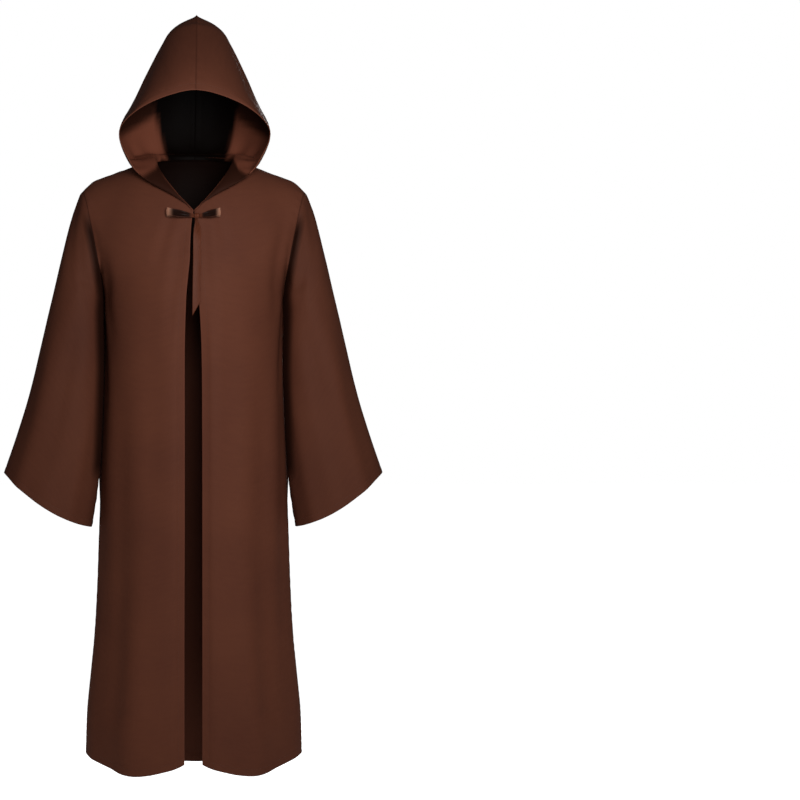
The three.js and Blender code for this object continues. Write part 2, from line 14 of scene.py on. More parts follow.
import bpy
import numpy as np
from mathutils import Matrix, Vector

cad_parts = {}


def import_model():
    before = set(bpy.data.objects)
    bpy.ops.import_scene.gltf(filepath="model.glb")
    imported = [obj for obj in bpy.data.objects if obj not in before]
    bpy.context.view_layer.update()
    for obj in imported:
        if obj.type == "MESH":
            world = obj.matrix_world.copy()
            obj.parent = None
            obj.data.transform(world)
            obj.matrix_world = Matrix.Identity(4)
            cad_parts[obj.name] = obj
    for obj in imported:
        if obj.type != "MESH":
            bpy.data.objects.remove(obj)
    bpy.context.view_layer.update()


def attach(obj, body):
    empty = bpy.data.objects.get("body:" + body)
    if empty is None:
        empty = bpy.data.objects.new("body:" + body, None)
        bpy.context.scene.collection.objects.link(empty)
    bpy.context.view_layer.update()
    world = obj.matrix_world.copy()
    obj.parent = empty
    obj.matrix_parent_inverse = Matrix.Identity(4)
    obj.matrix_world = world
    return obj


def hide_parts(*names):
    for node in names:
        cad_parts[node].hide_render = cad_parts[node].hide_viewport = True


MM = 0.001
QUARTER = math.pi / 2
FAR = 1e3
TINY = 1e-9
MIRRORED = np.array([-1, 1, 1])
# A wave texture at a scale of 1 repeats about every 0.314 units
WAVE_REPEAT = 0.314
PATTERN_LOW = 0.3
PATTERN_HIGH = 0.7
LOG = logging.getLogger("cloak")


class Slot(Enum):
    """Material slots of the record."""

    CLOTH = "cloth"
    RIBBON = "ribbon"


class Edge(Enum):
    """Borders of a piece's grid: its first and last row, its first and last column."""

    FIRST_ROW = "first_row"
    LAST_ROW = "last_row"
    FIRST_COLUMN = "first_column"
    LAST_COLUMN = "last_column"


# Sizes of cloth and sewing


@dataclass(frozen=True)
class Sewing:
    """Cloth, seam and crease sizes that every piece shares, in millimetres or as shares."""

    wall: float = 0.9
    turned_in: float = 0.8
    turned_edge: float = 0.8
    hem: float = 16.0
    hem_sink: float = 0.35
    hem_line: float = 14.0
    hem_line_width: float = 2.5
    hem_pucker: float = 0.2
    hem_pucker_reach: float = 9.0
    allowance: float = 10.0
    seam_gap: float = 0.02
    seam_sink: float = 1.3
    seam_reach: float = 4.0
    crease_depth: float = 1.45
    crease_spots: int = 36
    crease_end: float = 0.7
    crease_clear: float = 14.0
    ridge: float = 0.4
    ridge_off: float = 2.1
    ridge_width: float = 1.1
    valley: float = 6.0
    valley_reach: float = 11.0
    valley_behind: float = 0.55
    valley_turn: float = 15.0
    pucker: float = 0.4
    pucker_reach: float = 8.0
    pucker_length: float = 23.0
    pucker_run: tuple[float, float, float] = (0.6, 0.5, 0.8)
    second_pucker: float = 0.6
    second_rate: float = 0.617
    second_shift: float = 1.3
    tuck: float = 8.0
    tuck_in: float = 1.1
    tuck_shares: tuple[float, ...] = (1.0, 0.7, 0.4, 0.15)
    tuck_full: float = 0.25
    rim_round: float = 0.3
    tip_reach: float = 16.0


@dataclass(frozen=True)
class Bands:
    """Stretches of height z or depth y over which the cloth changes, from start to end, in millimetres."""

    cuff_z: tuple[float, float] = (-700, -640)
    shoulder_z: tuple[float, float] = (-150, -80)
    valley_start_z: tuple[float, float] = (-285, -225)
    valley_end_z: tuple[float, float] = (-150, -85)
    armhole_start_z: tuple[float, float] = (-350, -305)
    armhole_end_z: tuple[float, float] = (-110, -75)
    behind_y: tuple[float, float] = (-20, 25)
    bulge_start_y: tuple[float, float] = (4, 22)
    bulge_end_y: tuple[float, float] = (45, 90)
    bulge_start_z: tuple[float, float] = (-800, -640)
    bulge_end_z: tuple[float, float] = (-303, -270)
    yoke_dark_z: tuple[float, float] = (-240, -120)
    nape_up: tuple[float, float] = (2, 34)
    nape_y: tuple[float, float] = (-30, 30)


SEWING = Sewing()
BANDS = Bands()


# Tables of the garment's form, close to those of its solids


@dataclass(frozen=True)
class Point:
    """A place in millimetres."""

    x: float
    y: float
    z: float

    def array(self) -> np.ndarray:
        """The place as an array."""
        return np.array([self.x, self.y, self.z])


@dataclass(frozen=True)
class BodySection:
    """Horizontal section of the body: side seam, how far round it lies, depths and slit edges."""

    z: float
    side: float
    turn: float
    front: float
    back: float
    slit_right: float
    slit_left: float


@dataclass(frozen=True)
class HemHeight:
    """Height of the hem at a place round the front panel."""

    at: float
    z: float


@dataclass(frozen=True)
class Fold:
    """Soft fold of the skirt: its place round the panel, its width and how far it stands out."""

    at: float
    width: float
    out: float


@dataclass(frozen=True)
class SleeveRing:
    """Ring of a sleeve: outer line, inner line, half depth, shift forwards and bow of the edge."""

    at: float
    out_x: float
    out_z: float
    in_x: float
    in_z: float
    deep: float
    forward: float
    bow: float


@dataclass(frozen=True)
class HoodSection:
    """Row of the hood: back seam, widest point, front edge and how the row dips between them."""

    back_y: float
    back_z: float
    side_x: float
    side_y: float
    side_z: float
    edge_x: float
    edge_y: float
    edge_z: float
    dip: float
    at: float = 0.0


@dataclass(frozen=True)
class Crease:
    """Soft crease: a path over a piece in shares of its columns and rows, its depth and width in mm.

    A negative depth makes a ridge. An open end keeps its depth to the edge of the cloth.
    """

    path: tuple[tuple[float, float], ...]
    depth: float
    width: float
    open_end: bool = False


NAPE = Point(0, 88, 24)
NECK_SIDE = Point(84, 12, 14)
NECK_FRONT = Point(1.6, -124, -105)
NECK_DIP = 0.66
SHOULDER_TIP = Point(240, 2, -58)
SHOULDER_DROP = 15
SHOULDER_TURN = 0.78
YOKE_Z = -210
UNDERARM_Z = -290

NECK_FRONT_STEPS = 6
NECK_BACK_STEPS = 5
SHOULDER_STEPS = 7
SKIRT_ROWS = 11
ARMHOLE_ROWS = 4
YOKE_ROWS = 7
SLEEVE_ROWS = 13
HOOD_ROWS = 18

BODY_SECTIONS = [
    BodySection(-1300, 228, 90, 170, 164, 20, 18),
    BodySection(-1200, 227, 90, 168, 162, 20, 18),
    BodySection(-1129, 221, 90, 166, 158, 20, 18),
    BodySection(-1043, 213, 90, 164, 154, 20, 18),
    BodySection(-957, 206, 90, 161, 150, 20, 18),
    BodySection(-785, 201, 90, 157, 142, 19.5, 18),
    BodySection(-656, 198.5, 90, 153, 136, 19.5, 18),
    BodySection(-505, 192.5, 90, 149, 130, 19.5, 17.5),
    BodySection(-400, 190, 90, 147, 127, 19.5, 16.5),
    BodySection(-290, 191, 90, 144, 125, 16.5, 11),
    BodySection(-210, 203, 65, 138, 120, 9, 3.5),
]
FRONT_HEM = [
    HemHeight(*row)
    for row in (
        (0, -1273), (0.05, -1281), (0.15, -1290), (0.28, -1298), (0.42, -1295), (0.55, -1285),
        (0.7, -1275), (0.85, -1263), (1, -1248),
    )
]
BACK_HEM_CENTRE = -1298
BACK_HEM_RISE = 50
FRONT_FOLDS = [Fold(0.3, 0.16, 9), Fold(0.62, 0.1, -5), Fold(0.82, 0.1, 5)]
BACK_FOLDS = [
    Fold(*row)
    for row in (
        (0.14, 0.06, 5), (0.27, 0.06, -6), (0.4, 0.07, 7), (0.53, 0.06, -5), (0.66, 0.07, 7),
        (0.79, 0.06, -5), (0.9, 0.05, 4),
    )
]
FOLD_TOP_Z = -420
FOLD_FULL_Z = -1290
EDGE_ROLL_DEEP = 9
EDGE_ROLL_WIDTH = 16
EDGE_ROLL_FULL_Z = -420
EDGE_ROLL_GONE_Z = -150
PANEL_FULLNESS = 0.9
YOKE_POWER = 0.8
RELAX_ROUNDS = 3
TURNED_NECK_FRONT = 55
TURNED_NECK_SIDE = 84
TURNED_SHOULDER = 89
STRAIGHT_NECK = 0.3
STRAIGHT_TIP = 0.8
BUNCH_FRONT = 0.6
BUNCH_BACK = 0.35
BUNCH_SLEEVE = 0.3

SLEEVE_RINGS = [
    SleeveRing(0, 241, -58, 192, -290, 55, 3, 0),
    SleeveRing(0.07, 258, -86, 194.5, -318, 60, 8, 0),
    SleeveRing(0.16, 271, -142, 193.5, -358, 64, 14, 0),
    SleeveRing(0.3, 291, -238, 191.5, -430, 67, 20, 0),
    SleeveRing(0.5, 322, -370, 194, -530, 70, 24, 1),
    SleeveRing(0.7, 351, -492, 198.5, -630, 74, 25, 5),
    SleeveRing(0.86, 379, -584, 206, -706, 77, 25, 12),
    SleeveRing(1, 405, -660, 217, -776, 80, 25, 19),
]
SLEEVE_SET_IN = 0.3

HOOD_SECTIONS = [
    HoodSection(88, 24, 84, 12, 14, 1.6, -124, -105, 0.66),
    HoodSection(93, 28, 92, 13, 21, 20, -124, -88, 0.66),
    HoodSection(104, 28, 114, 14, 17, 50, -116, -68, 0.62),
    HoodSection(114, 34, 132, 11, 12, 85, -102, -48, 0.55),
    HoodSection(122, 49, 143, 7, 18, 117, -91, -26, 0.45),
    HoodSection(128, 72, 152, 0, 33, 136, -89, 1, 0.35),
    HoodSection(132, 103, 159, -10, 52, 154, -94, 34, 0.25),
    HoodSection(132, 140, 161, -24, 77, 161, -101, 61, 0.2),
    HoodSection(127, 184, 145, -30, 106, 149, -112, 86, 0.2),
    HoodSection(116, 230, 119, -25, 156, 115, -127, 113, 0.3),
    HoodSection(99, 272, 96, -14, 206, 74, -136, 132, 0.4),
    HoodSection(80, 303, 74, -6, 250, 40, -141, 143, 0.4),
    HoodSection(60, 320, 50, -14, 285, 17, -142, 148, 0.4),
    HoodSection(40, 329, 0, -25, 299, 0, -142, 149.5, 0.4),
]
HOOD_CLEAR = 2.5
HOOD_CLEAR_ROWS = 6
HOOD_NEAR = 30
HOOD_SUNK = 14
HOOD_LEAN = 6
HOOD_LEAN_FROM = -105
HOOD_LEAN_TO = 325
HOOD_ROUND_WIDTH = 60


# Curves and grids


def mix(a: float | np.ndarray, b: float | np.ndarray, share: float) -> float | np.ndarray:
    """The value a share of the way from a to b."""
    return a + (b - a) * share


def smooth(x: float | np.ndarray, low: float, high: float) -> float | np.ndarray:
    """0 below low, 1 above high and a soft step between them."""
    t = np.clip((x - low) / (high - low), 0, 1)
    return t * t * (3 - 2 * t)


def bell(x: np.ndarray, width: float) -> np.ndarray:
    """1 at nought, falling off softly over width."""
    return np.exp(-((x / width) ** 2))


def bunched(s: np.ndarray | float, share: float) -> np.ndarray | float:
    """Steps from 0 to 1 that crowd towards both ends."""
    return s - share * np.sin(2 * math.pi * s) / (2 * math.pi)


def spline(points: np.ndarray, knots: np.ndarray, places: np.ndarray) -> np.ndarray:
    """Smooth curves through rows of points.

    Args:
        points: Values of shape (rows, columns, parts).
        knots: Place of each row.
        places: Places at which the curves are read.

    Returns:
        The values at those places, one row each.
    """
    slopes = np.empty_like(points)
    slopes[1:-1] = (points[2:] - points[:-2]) / (knots[2:] - knots[:-2])[:, None, None]
    slopes[0] = (points[1] - points[0]) / (knots[1] - knots[0])
    slopes[-1] = (points[-1] - points[-2]) / (knots[-1] - knots[-2])
    high = np.clip(np.searchsorted(knots, places, side="right"), 1, len(knots) - 1)
    low = high - 1
    span = (knots[high] - knots[low])[:, None, None]
    t = (places - knots[low])[:, None, None] / span
    start = (2 * t**3 - 3 * t**2 + 1) * points[low] + (t**3 - 2 * t**2 + t) * slopes[low] * span
    end = (3 * t**2 - 2 * t**3) * points[high] + (t**3 - t**2) * slopes[high] * span
    return start + end


def row_at(table: Sequence[object], by: str, place: float) -> dict[str, float]:
    """Reads a table between its rows.

    Args:
        table: Rows of one dataclass.
        by: Field that orders the rows.
        place: Value of that field to read at.

    Returns:
        Each field's value there, on a smooth curve through the rows.
    """
    names = [f.name for f in fields(table[0])]
    rows = sorted(table, key=lambda row: getattr(row, by))
    values = np.array([[getattr(row, name) for name in names] for row in rows], dtype=float)
    knots = values[:, names.index(by)]
    inside = np.array([np.clip(place, knots[0], knots[-1])])
    return dict(zip(names, spline(values[:, None, :], knots, inside)[0, 0]))


def lengths(points: np.ndarray) -> np.ndarray:
    """Distance run along the first axis of a grid, from its first row."""
    steps = np.linalg.norm(np.diff(points, axis=0), axis=2)
    return np.concatenate([np.zeros((1, points.shape[1])), np.cumsum(steps, axis=0)])


def crowded(length: float, step: float, ends: float) -> np.ndarray:
    """Places along a length, closer together at both ends.

    Args:
        length: Length to cover.
        step: Mean distance between places.
        ends: How strongly they crowd at the ends, from 0 to 1.

    Returns:
        The places, from 0 to the length.
    """
    count = max(4, round(length / step))
    return bunched(np.linspace(0, 1, count + 1), ends) * length


def refined(
    grid: np.ndarray, step: float, ends: float, measured: np.ndarray | None = None
) -> tuple[np.ndarray, np.ndarray]:
    """Makes a grid's rows finer.

    Args:
        grid: Grid of shape (rows, columns, 3).
        step: Mean distance between the new rows.
        ends: How strongly they crowd at the ends, from 0 to 1.
        measured: Grid that the distances between rows are measured on, if not the same one.

    Returns:
        The finer grid, and the place of each new row.
    """
    knots = lengths(grid if measured is None else measured).mean(axis=1)
    places = crowded(knots[-1], step, ends)
    return spline(grid, knots, places), places


def turned(grid: np.ndarray) -> np.ndarray:
    """A grid with its rows and columns exchanged."""
    return grid.transpose(1, 0, 2)


def grid_normals(points: np.ndarray, closed: bool, facing: int) -> np.ndarray:
    """Outward direction at each point of a grid, from its neighbours.

    Args:
        points: Grid of shape (rows, columns, 3).
        closed: Whether the last column meets the first one again.
        facing: 1 or -1, whichever points outwards.

    Returns:
        Unit vectors of the same shape.
    """
    if closed:
        along = np.roll(points, -1, axis=1) - np.roll(points, 1, axis=1)
    else:
        along = np.gradient(points, axis=1)
    rise = np.gradient(points, axis=0)
    normals = np.cross(along, rise) * facing
    return normals / np.maximum(np.linalg.norm(normals, axis=2, keepdims=True), TINY)


def beside_arm(z: np.ndarray) -> np.ndarray:
    """How far a height lies beside the upper arm, between shoulder and cuff, from 0 to 1."""
    return smooth(z, *BANDS.cuff_z) * (1 - smooth(z, *BANDS.shoulder_z))


def varied(
    creases: Sequence[Crease], shift: float, stretch: float, strength: float, width: float = 1.0
) -> tuple[Crease, ...]:
    """Creases for the other side of a garment, not quite the same because cloth is never even.

    Args:
        creases: Creases of the first side.
        shift: How far they move across the piece, as a share of it.
        stretch: How far they move along it, as a factor.
        strength: Factor of their depth.
        width: Factor of their width.

    Returns:
        The changed creases.
    """
    return tuple(
        Crease(
            tuple((min(1, u + shift), min(1, v * stretch)) for u, v in one.path),
            one.depth * strength,
            one.width * width,
            one.open_end,
        )
        for one in creases
    )


@dataclass
class Cloth:
    """One piece of cloth as a fine grid of its outer side, with what is sewn at its edges."""

    name: str
    points: np.ndarray
    across: np.ndarray
    along: np.ndarray
    facing: int
    hems: tuple[Edge, ...]
    seams: tuple[Edge, ...]
    closed: bool = False
    tip: np.ndarray | None = None
    # Painted shade on the inner and the outer side, and how deep and wide the valley's painted shade is
    inner_shade: Callable[[np.ndarray], np.ndarray] | None = None
    outer_shade: np.ndarray | float = 0.0
    shade_depth: float = 0.15
    shade_reach: tuple[float, float] = (0.5, 5.0)
    seam_strength: float = 1.0
    tucked: float = 0.0

    def __post_init__(self) -> None:
        """Measures the cut before anything moves it."""
        self.flat_across, self.flat_along = lengths(turned(self.points)).T, lengths(self.points)
        self.hem_distance = self.distance(self.hems)
        self.seam_distance = self.distance(self.seams)
        if self.closed:
            closing = np.linalg.norm(self.points[:, -1:] - self.points[:, :1], axis=2)
            back = self.flat_across[:, -1:] + closing - self.flat_across
            self.seam_distance = np.minimum.reduce([self.seam_distance, self.flat_across, back])

    def distance(self, edges: Sequence[Edge]) -> np.ndarray:
        """Distance of each point of the grid to the nearest of some edges.

        Args:
            edges: The edges.

        Returns:
            A distance for each point, or a very large one if there are no edges.
        """
        runs = {
            Edge.FIRST_ROW: np.abs(self.flat_along - self.tucked),
            Edge.LAST_ROW: self.flat_along[-1:] - self.flat_along,
            Edge.FIRST_COLUMN: self.flat_across,
            Edge.LAST_COLUMN: self.flat_across[:, -1:] - self.flat_across,
        }
        far = np.full(self.points.shape[:2], FAR)
        return np.minimum.reduce([far, *(runs[edge] for edge in edges)])

    def normals(self) -> np.ndarray:
        """Outward direction at each point, straight up round the tip of a hood.

        Returns:
            Unit vectors, one for each point.
        """
        normals = grid_normals(self.points, self.closed, self.facing)
        if self.tip is not None:
            near = bell(np.linalg.norm(self.points - self.tip, axis=2), SEWING.tip_reach)[..., None]
            normals = mix(normals, np.array([0.0, 0.0, 1.0]), near)
            normals /= np.linalg.norm(normals, axis=2, keepdims=True)
        return normals

    def spot(self, across: float, along: float) -> np.ndarray:
        """Place of a share of the columns and rows on the cloth.

        Args:
            across: Share of the columns.
            along: Share of the rows.

        Returns:
            The place, between the four points round it.
        """
        rows, columns = self.points.shape[:2]
        i = np.interp(along, self.along / self.along[-1], np.arange(rows))
        j = np.interp(across, self.across / self.across[-1], np.arange(columns))
        i0, j0 = min(int(i), rows - 2), min(int(j), columns - 2)
        low = mix(self.points[i0, j0], self.points[i0, j0 + 1], j - j0)
        high = mix(self.points[i0 + 1, j0], self.points[i0 + 1, j0 + 1], j - j0)
        return mix(low, high, i - i0)

    def crease(self, creases: Sequence[Crease]) -> None:
        """Lays creases into the cloth, fading out where it is sewn down.

        Args:
            creases: The creases, each as a trough with a low ridge on both sides.
        """
        height = np.zeros(self.points.shape[:2])
        places = np.linspace(0, 1, SEWING.crease_spots)
        for one in creases:
            path = np.array(one.path, dtype=float)[:, None, :]
            track = spline(path, np.linspace(0, 1, len(one.path)), places)[:, 0]
            spots = np.array([self.spot(*pair) for pair in track])
            gaps = np.linalg.norm(self.points[:, :, None, :] - spots, axis=3)
            gap, done = gaps.min(axis=2), places[gaps.argmin(axis=2)]
            last = 0.5 if one.open_end else 1
            fade = np.sin(np.pi * np.clip(done, 0, last)) ** SEWING.crease_end
            ridge = bell(gap - SEWING.ridge_off * one.width, SEWING.ridge_width * one.width)
            trough = bell(gap, one.width) - SEWING.ridge * ridge
            height -= SEWING.crease_depth * one.depth * fade * trough
        height *= 1 - bell(self.seam_distance, SEWING.crease_clear)
        self.points = self.points + self.normals() * height[..., None]

    def fold_in(self, distance: np.ndarray, seen: np.ndarray) -> None:
        """Lays the valley between sleeve and body, deep in front and shallow behind, with painted shade
        along it, darker in front.

        Args:
            distance: Distance of each point from the valley's line, over the cloth.
            seen: The same distance as it looks from straight in front.
        """
        y, z = self.points[..., 1], self.points[..., 2]
        front = 1 - SEWING.valley_behind * smooth(y, *BANDS.behind_y)
        depth = SEWING.valley * bell(distance, SEWING.valley_reach) * front
        depth *= smooth(z, *BANDS.valley_start_z) * (1 - smooth(z, *BANDS.valley_end_z))
        # Painted shade along the valley beside the upper arm, stronger in front
        shade = self.shade_depth * (1 - smooth(seen, *self.shade_reach))
        self.outer_shade = shade * beside_arm(z) * front
        # Both pieces move the same way, so their shared seam stays shut
        moved = self.points.copy()
        moved[..., 1] -= np.tanh(y / SEWING.valley_turn) * depth
        self.points = moved

    def sew(self) -> None:
        """Sinks the seams and the hems' stitch lines, and puckers the cloth beside the seams."""
        z = self.points[..., 2]
        turn = 2 * math.pi * (self.points @ np.array(SEWING.pucker_run)) / SEWING.pucker_length
        second = np.sin(SEWING.second_rate * turn + SEWING.second_shift)
        ripple = np.sin(turn) + SEWING.second_pucker * second
        beside = bell(self.seam_distance - SEWING.pucker_reach, SEWING.pucker_reach)
        # Round the armhole the valley takes the seam's place
        under = smooth(z, *BANDS.armhole_start_z) * (1 - smooth(z, *BANDS.armhole_end_z))
        sink = SEWING.seam_sink * self.seam_strength * (1 - under)
        in_hem = bell(self.hem_distance - SEWING.hem / 2, SEWING.hem_pucker_reach)
        height = ripple * (SEWING.pucker * beside + SEWING.hem_pucker * in_hem)
        height -= sink * bell(self.seam_distance, SEWING.seam_reach)
        height -= SEWING.hem_sink * bell(self.hem_distance - SEWING.hem_line, SEWING.hem_line_width)
        self.points = self.points + self.normals() * height[..., None]

    def wall(self) -> np.ndarray:
        """Thickness of the cloth, doubled where it is turned in at hems and seams.

        Returns:
            A thickness for each point.
        """
        edge = SEWING.turned_edge
        turned_in = 1 - smooth(self.hem_distance, SEWING.hem - edge, SEWING.hem + edge)
        sewn = 1 - smooth(self.seam_distance, SEWING.allowance - edge, SEWING.allowance + edge)
        return SEWING.wall + SEWING.turned_in * np.maximum(turned_in, sewn)

    def build(self, material: bpy.types.Material) -> bpy.types.Object:
        """Makes the closed shell of the piece.

        Args:
            material: Its cloth.

        Returns:
            The piece, at the origin, with its place in its mesh.
        """
        inner = self.points - self.normals() * self.wall()[..., None]
        inside = 0.0 if self.inner_shade is None else self.inner_shade(self.points)
        # Attributes for the material: distances to hems and seams, painted shade on both sides, and the
        # wrong side, which is painted lighter
        values = {
            "hem_distance": (self.hem_distance * MM, self.hem_distance * MM),
            "seam_distance": (self.seam_distance * MM, self.seam_distance * MM),
            "hollow": (self.outer_shade, inside),
            "wrong_side": (0.0, 1.0),
        }
        shell = Shell(self.name, self.points, inner, self.closed, self.facing)
        return shell.build(material, (self.flat_across, self.flat_along), values)

    def stitch_path(self, edge: Edge, inset: float) -> tuple[np.ndarray, np.ndarray]:
        """Line over the cloth at a distance from an edge.

        Args:
            edge: Edge that the line follows.
            inset: Distance from it in millimetres.

        Returns:
            The line's points, and the outward direction at each.
        """
        points, normals = self.points, self.normals()
        if edge in (Edge.FIRST_COLUMN, Edge.LAST_COLUMN):
            points, normals = turned(points), turned(normals)
        if edge in (Edge.LAST_ROW, Edge.LAST_COLUMN):
            points, normals = points[::-1], normals[::-1]
        run = lengths(points)
        line, facing = [], []
        for k in range(points.shape[1]):
            high = int(np.clip(np.searchsorted(run[:, k], inset), 1, len(run) - 1))
            share = (inset - run[high - 1, k]) / (run[high, k] - run[high - 1, k])
            line.append(mix(points[high - 1, k], points[high, k], share))
            facing.append(mix(normals[high - 1, k], normals[high, k], share))
        return np.array(line), np.array(facing)


def put_in_scene(
    name: str, mesh: bpy.types.Mesh, material: bpy.types.Material | None = None
) -> bpy.types.Object:
    """Makes an object of a mesh, smooth and in its material.

    Args:
        name: Name of the object.
        mesh: Its mesh.
        material: Its material, if it has one.

    Returns:
        The object, linked to the scene.
    """
    mesh.polygons.foreach_set("use_smooth", [True] * len(mesh.polygons))
    if material is not None:
        mesh.materials.append(material)
    piece = bpy.data.objects.new(name, mesh)
    bpy.context.scene.collection.objects.link(piece)
    return piece


@dataclass
class Shell:
    """Closed wall between an outer and an inner grid, with a rounded rim."""

    name: str
    outer: np.ndarray
    inner: np.ndarray
    closed: bool
    facing: int

    def build(
        self,
        material: bpy.types.Material,
        runs: tuple[np.ndarray, np.ndarray],
        values: dict[str, tuple[np.ndarray | float, np.ndarray | float]],
    ) -> bpy.types.Object:
        """Makes the mesh.

        Args:
            material: Finish of the piece.
            runs: Distance across and along the cloth at each point, for its UV map.
            values: Named numbers for the outer and the inner side, kept as attributes.

        Returns:
            The finished object.
        """
        rows, columns = self.outer.shape[:2]
        count = rows * columns
        number = np.arange(count).reshape(rows, columns)
        lines = [(number[0], self._bulge(0, 0)), (number[-1], self._bulge(0, -1))]
        if not self.closed:
            lines += [(number[:, 0], self._bulge(1, 0)), (number[:, -1], self._bulge(1, -1))]
        vertices = [self.outer.reshape(-1, 3), self.inner.reshape(-1, 3)]
        sources = [number.ravel(), number.ravel()]
        faces = self._sheet_faces(number, count)
        start = 2 * count
        for side, (line, rim) in enumerate(lines):
            vertices.append(rim)
            sources.append(line)
            ids = np.arange(len(line)) + start
            start += len(line)
            faces.append(self._strip(line, ids, side))
            faces.append(self._strip(ids, line + count, side))
        quads = np.concatenate(faces)
        if self.facing < 0:
            quads = quads[:, ::-1]
        source = np.concatenate(sources)
        mesh = bpy.data.meshes.new(self.name)
        mesh.from_pydata((np.concatenate(vertices) * MM).tolist(), [], quads.tolist())
        for name, pair in values.items():
            outside, inside = (np.broadcast_to(value, (rows, columns)).ravel() for value in pair)
            spread = outside[source]
            spread[count : 2 * count] = inside
            attribute = mesh.attributes.new(name, "FLOAT", "POINT")
            attribute.data.foreach_set("value", spread.astype(np.float32))
        self._unwrap(mesh, quads, source, runs)
        mesh.validate()
        return put_in_scene(self.name, mesh, material)

    def _sheet_faces(self, number: np.ndarray, count: int) -> list[np.ndarray]:
        """Faces of the outer side and, the other way round, of the inner side.

        Args:
            number: Number of each point of the grid.
            count: How many points the outer side has.

        Returns:
            The faces of both sides.
        """
        following = np.roll(number, -1, axis=1) if self.closed else number[:, 1:]
        here = number[:, : following.shape[1]]
        corners = (here[:-1], following[:-1], following[1:], here[1:])
        outer = np.stack([c.ravel() for c in corners], axis=1)
        return [outer, outer[:, ::-1] + count]

    def _bulge(self, axis: int, end: int) -> np.ndarray:
        """Points of the rim's middle line on one border, pushed out to round the folded edge.

        Args:
            axis: 0 for a border along a row, 1 for one along a column.
            end: 0 for the first one, -1 for the last one.

        Returns:
            The points in their order along the border.
        """
        outer, inner = (np.moveaxis(side, axis, 0) for side in (self.outer, self.inner))
        middle = (outer + inner) / 2
        wall = np.linalg.norm(outer[end] - inner[end], axis=1, keepdims=True)
        away = middle[end] - middle[1 if end == 0 else -2]
        away /= np.maximum(np.linalg.norm(away, axis=1, keepdims=True), TINY)
        return middle[end] + away * SEWING.rim_round * wall

    def _strip(self, first: np.ndarray, second: np.ndarray, side: int) -> np.ndarray:
        """Faces between two lines along a border, wound for that border.

        Args:
            first: Numbers of the points on one line.
            second: Numbers of the points on the other line.
            side: 0 and 1 for the first and last row, 2 and 3 for the first and last column.

        Returns:
            The faces.
        """
        ahead = [np.roll(line, -1) if self.closed else line[1:] for line in (first, second)]
        count = len(ahead[0])
        order = (first[:count], second[:count], ahead[1], ahead[0])
        return np.stack(order if side in (0, 3) else order[::-1], axis=1)

    def _unwrap(
        self,
        mesh: bpy.types.Mesh,
        quads: np.ndarray,
        source: np.ndarray,
        runs: tuple[np.ndarray, np.ndarray],
    ) -> None:
        """Lays the cloth's own distances out as a UV map in metres.

        Args:
            mesh: The mesh that takes the map.
            quads: Its faces.
            source: Number of the grid point that each of its vertices stands for.
            runs: Distance across and along the cloth at each point of the grid.
        """
        across, along = (run.ravel()[source] * MM for run in runs)
        u, v = across[quads], along[quads]
        if self.closed:
            columns = source % self.outer.shape[1]
            last, first = columns == self.outer.shape[1] - 1, columns == 0
            wraps = last[quads].any(axis=1) & first[quads].any(axis=1)
            closing = np.linalg.norm(self.outer[:, -1] - self.outer[:, 0], axis=1) * MM
            total = across.max() + float(closing.mean())
            u = np.where(wraps[:, None] & first[quads], total, u)
        uv = mesh.uv_layers.new(name="cut")
        uv.data.foreach_set("uv", np.stack([u.ravel(), v.ravel()], axis=1).ravel())



# Finishes


def linear(hex_colour: str) -> tuple[float, float, float, float]:
    """Turns an sRGB hex colour to the linear values that shaders take.

    Args:
        hex_colour: The colour, as in #673b2b.

    Returns:
        Its linear red, green and blue, and an alpha of 1.
    """
    parts = [int(hex_colour[k : k + 2], 16) / 255 for k in (1, 3, 5)]
    values = [p / 12.92 if p <= 0.04045 else ((p + 0.055) / 1.055) ** 2.4 for p in parts]
    return (*values, 1.0)


def add_node(
    tree: bpy.types.NodeTree,
    kind: str,
    settings: dict[str, object] | None = None,
    links: dict[str | int, bpy.types.NodeSocket] | None = None,
) -> bpy.types.Node:
    """Adds a node with its settings and links.

    Args:
        tree: Tree that takes the node.
        kind: The node's type name.
        settings: Properties by name, and values of input sockets by name or number.
        links: Sockets to link, by the name or number of the input that takes each.

    Returns:
        The node.
    """
    node = tree.nodes.new(kind)
    for name, value in (settings or {}).items():
        if isinstance(name, str) and hasattr(node, name) and name not in node.inputs:
            setattr(node, name, value)
        else:
            node.inputs[name].default_value = value
    for name, socket in (links or {}).items():
        tree.links.new(socket, node.inputs[name])
    return node


def start_material(
    name: str, settings: dict[str, object]
) -> tuple[bpy.types.Material, bpy.types.NodeTree, bpy.types.Node]:
    """Makes a material and sets its shader.

    Args:
        name: The material's name.
        settings: Values of the shader's sockets by name.

    Returns:
        The material, its tree and its shader.
    """
    material = bpy.data.materials.new(name)
    material.use_nodes = True
    shader = material.node_tree.nodes["Principled BSDF"]
    for socket, value in settings.items():
        shader.inputs[socket].default_value = value
    return material, material.node_tree, shader


def two_toned(
    tree: bpy.types.NodeTree, value: bpy.types.NodeSocket, dark: str, light: str
) -> bpy.types.NodeSocket:
    """Spreads a pattern's middle values over two tones.

    Args:
        tree: Tree that takes the nodes.
        value: The pattern.
        dark: Colour of its low values.
        light: Colour of its high values.

    Returns:
        The colour.
    """
    ends = {"From Min": PATTERN_LOW, "From Max": PATTERN_HIGH}
    spread = add_node(tree, "ShaderNodeMapRange", ends, {"Value": value}).outputs["Result"]
    colours = {"data_type": "RGBA", 6: linear(dark), 7: linear(light)}
    return add_node(tree, "ShaderNodeMix", colours, {"Factor": spread}).outputs[2]


@dataclass(frozen=True)
class Tint:
    """Colour laid on by an attribute, or by a distance: how far it reaches in mm and how strongly."""

    attribute: str
    colour: str
    reach: float = 0.0
    strength: float = 1.0


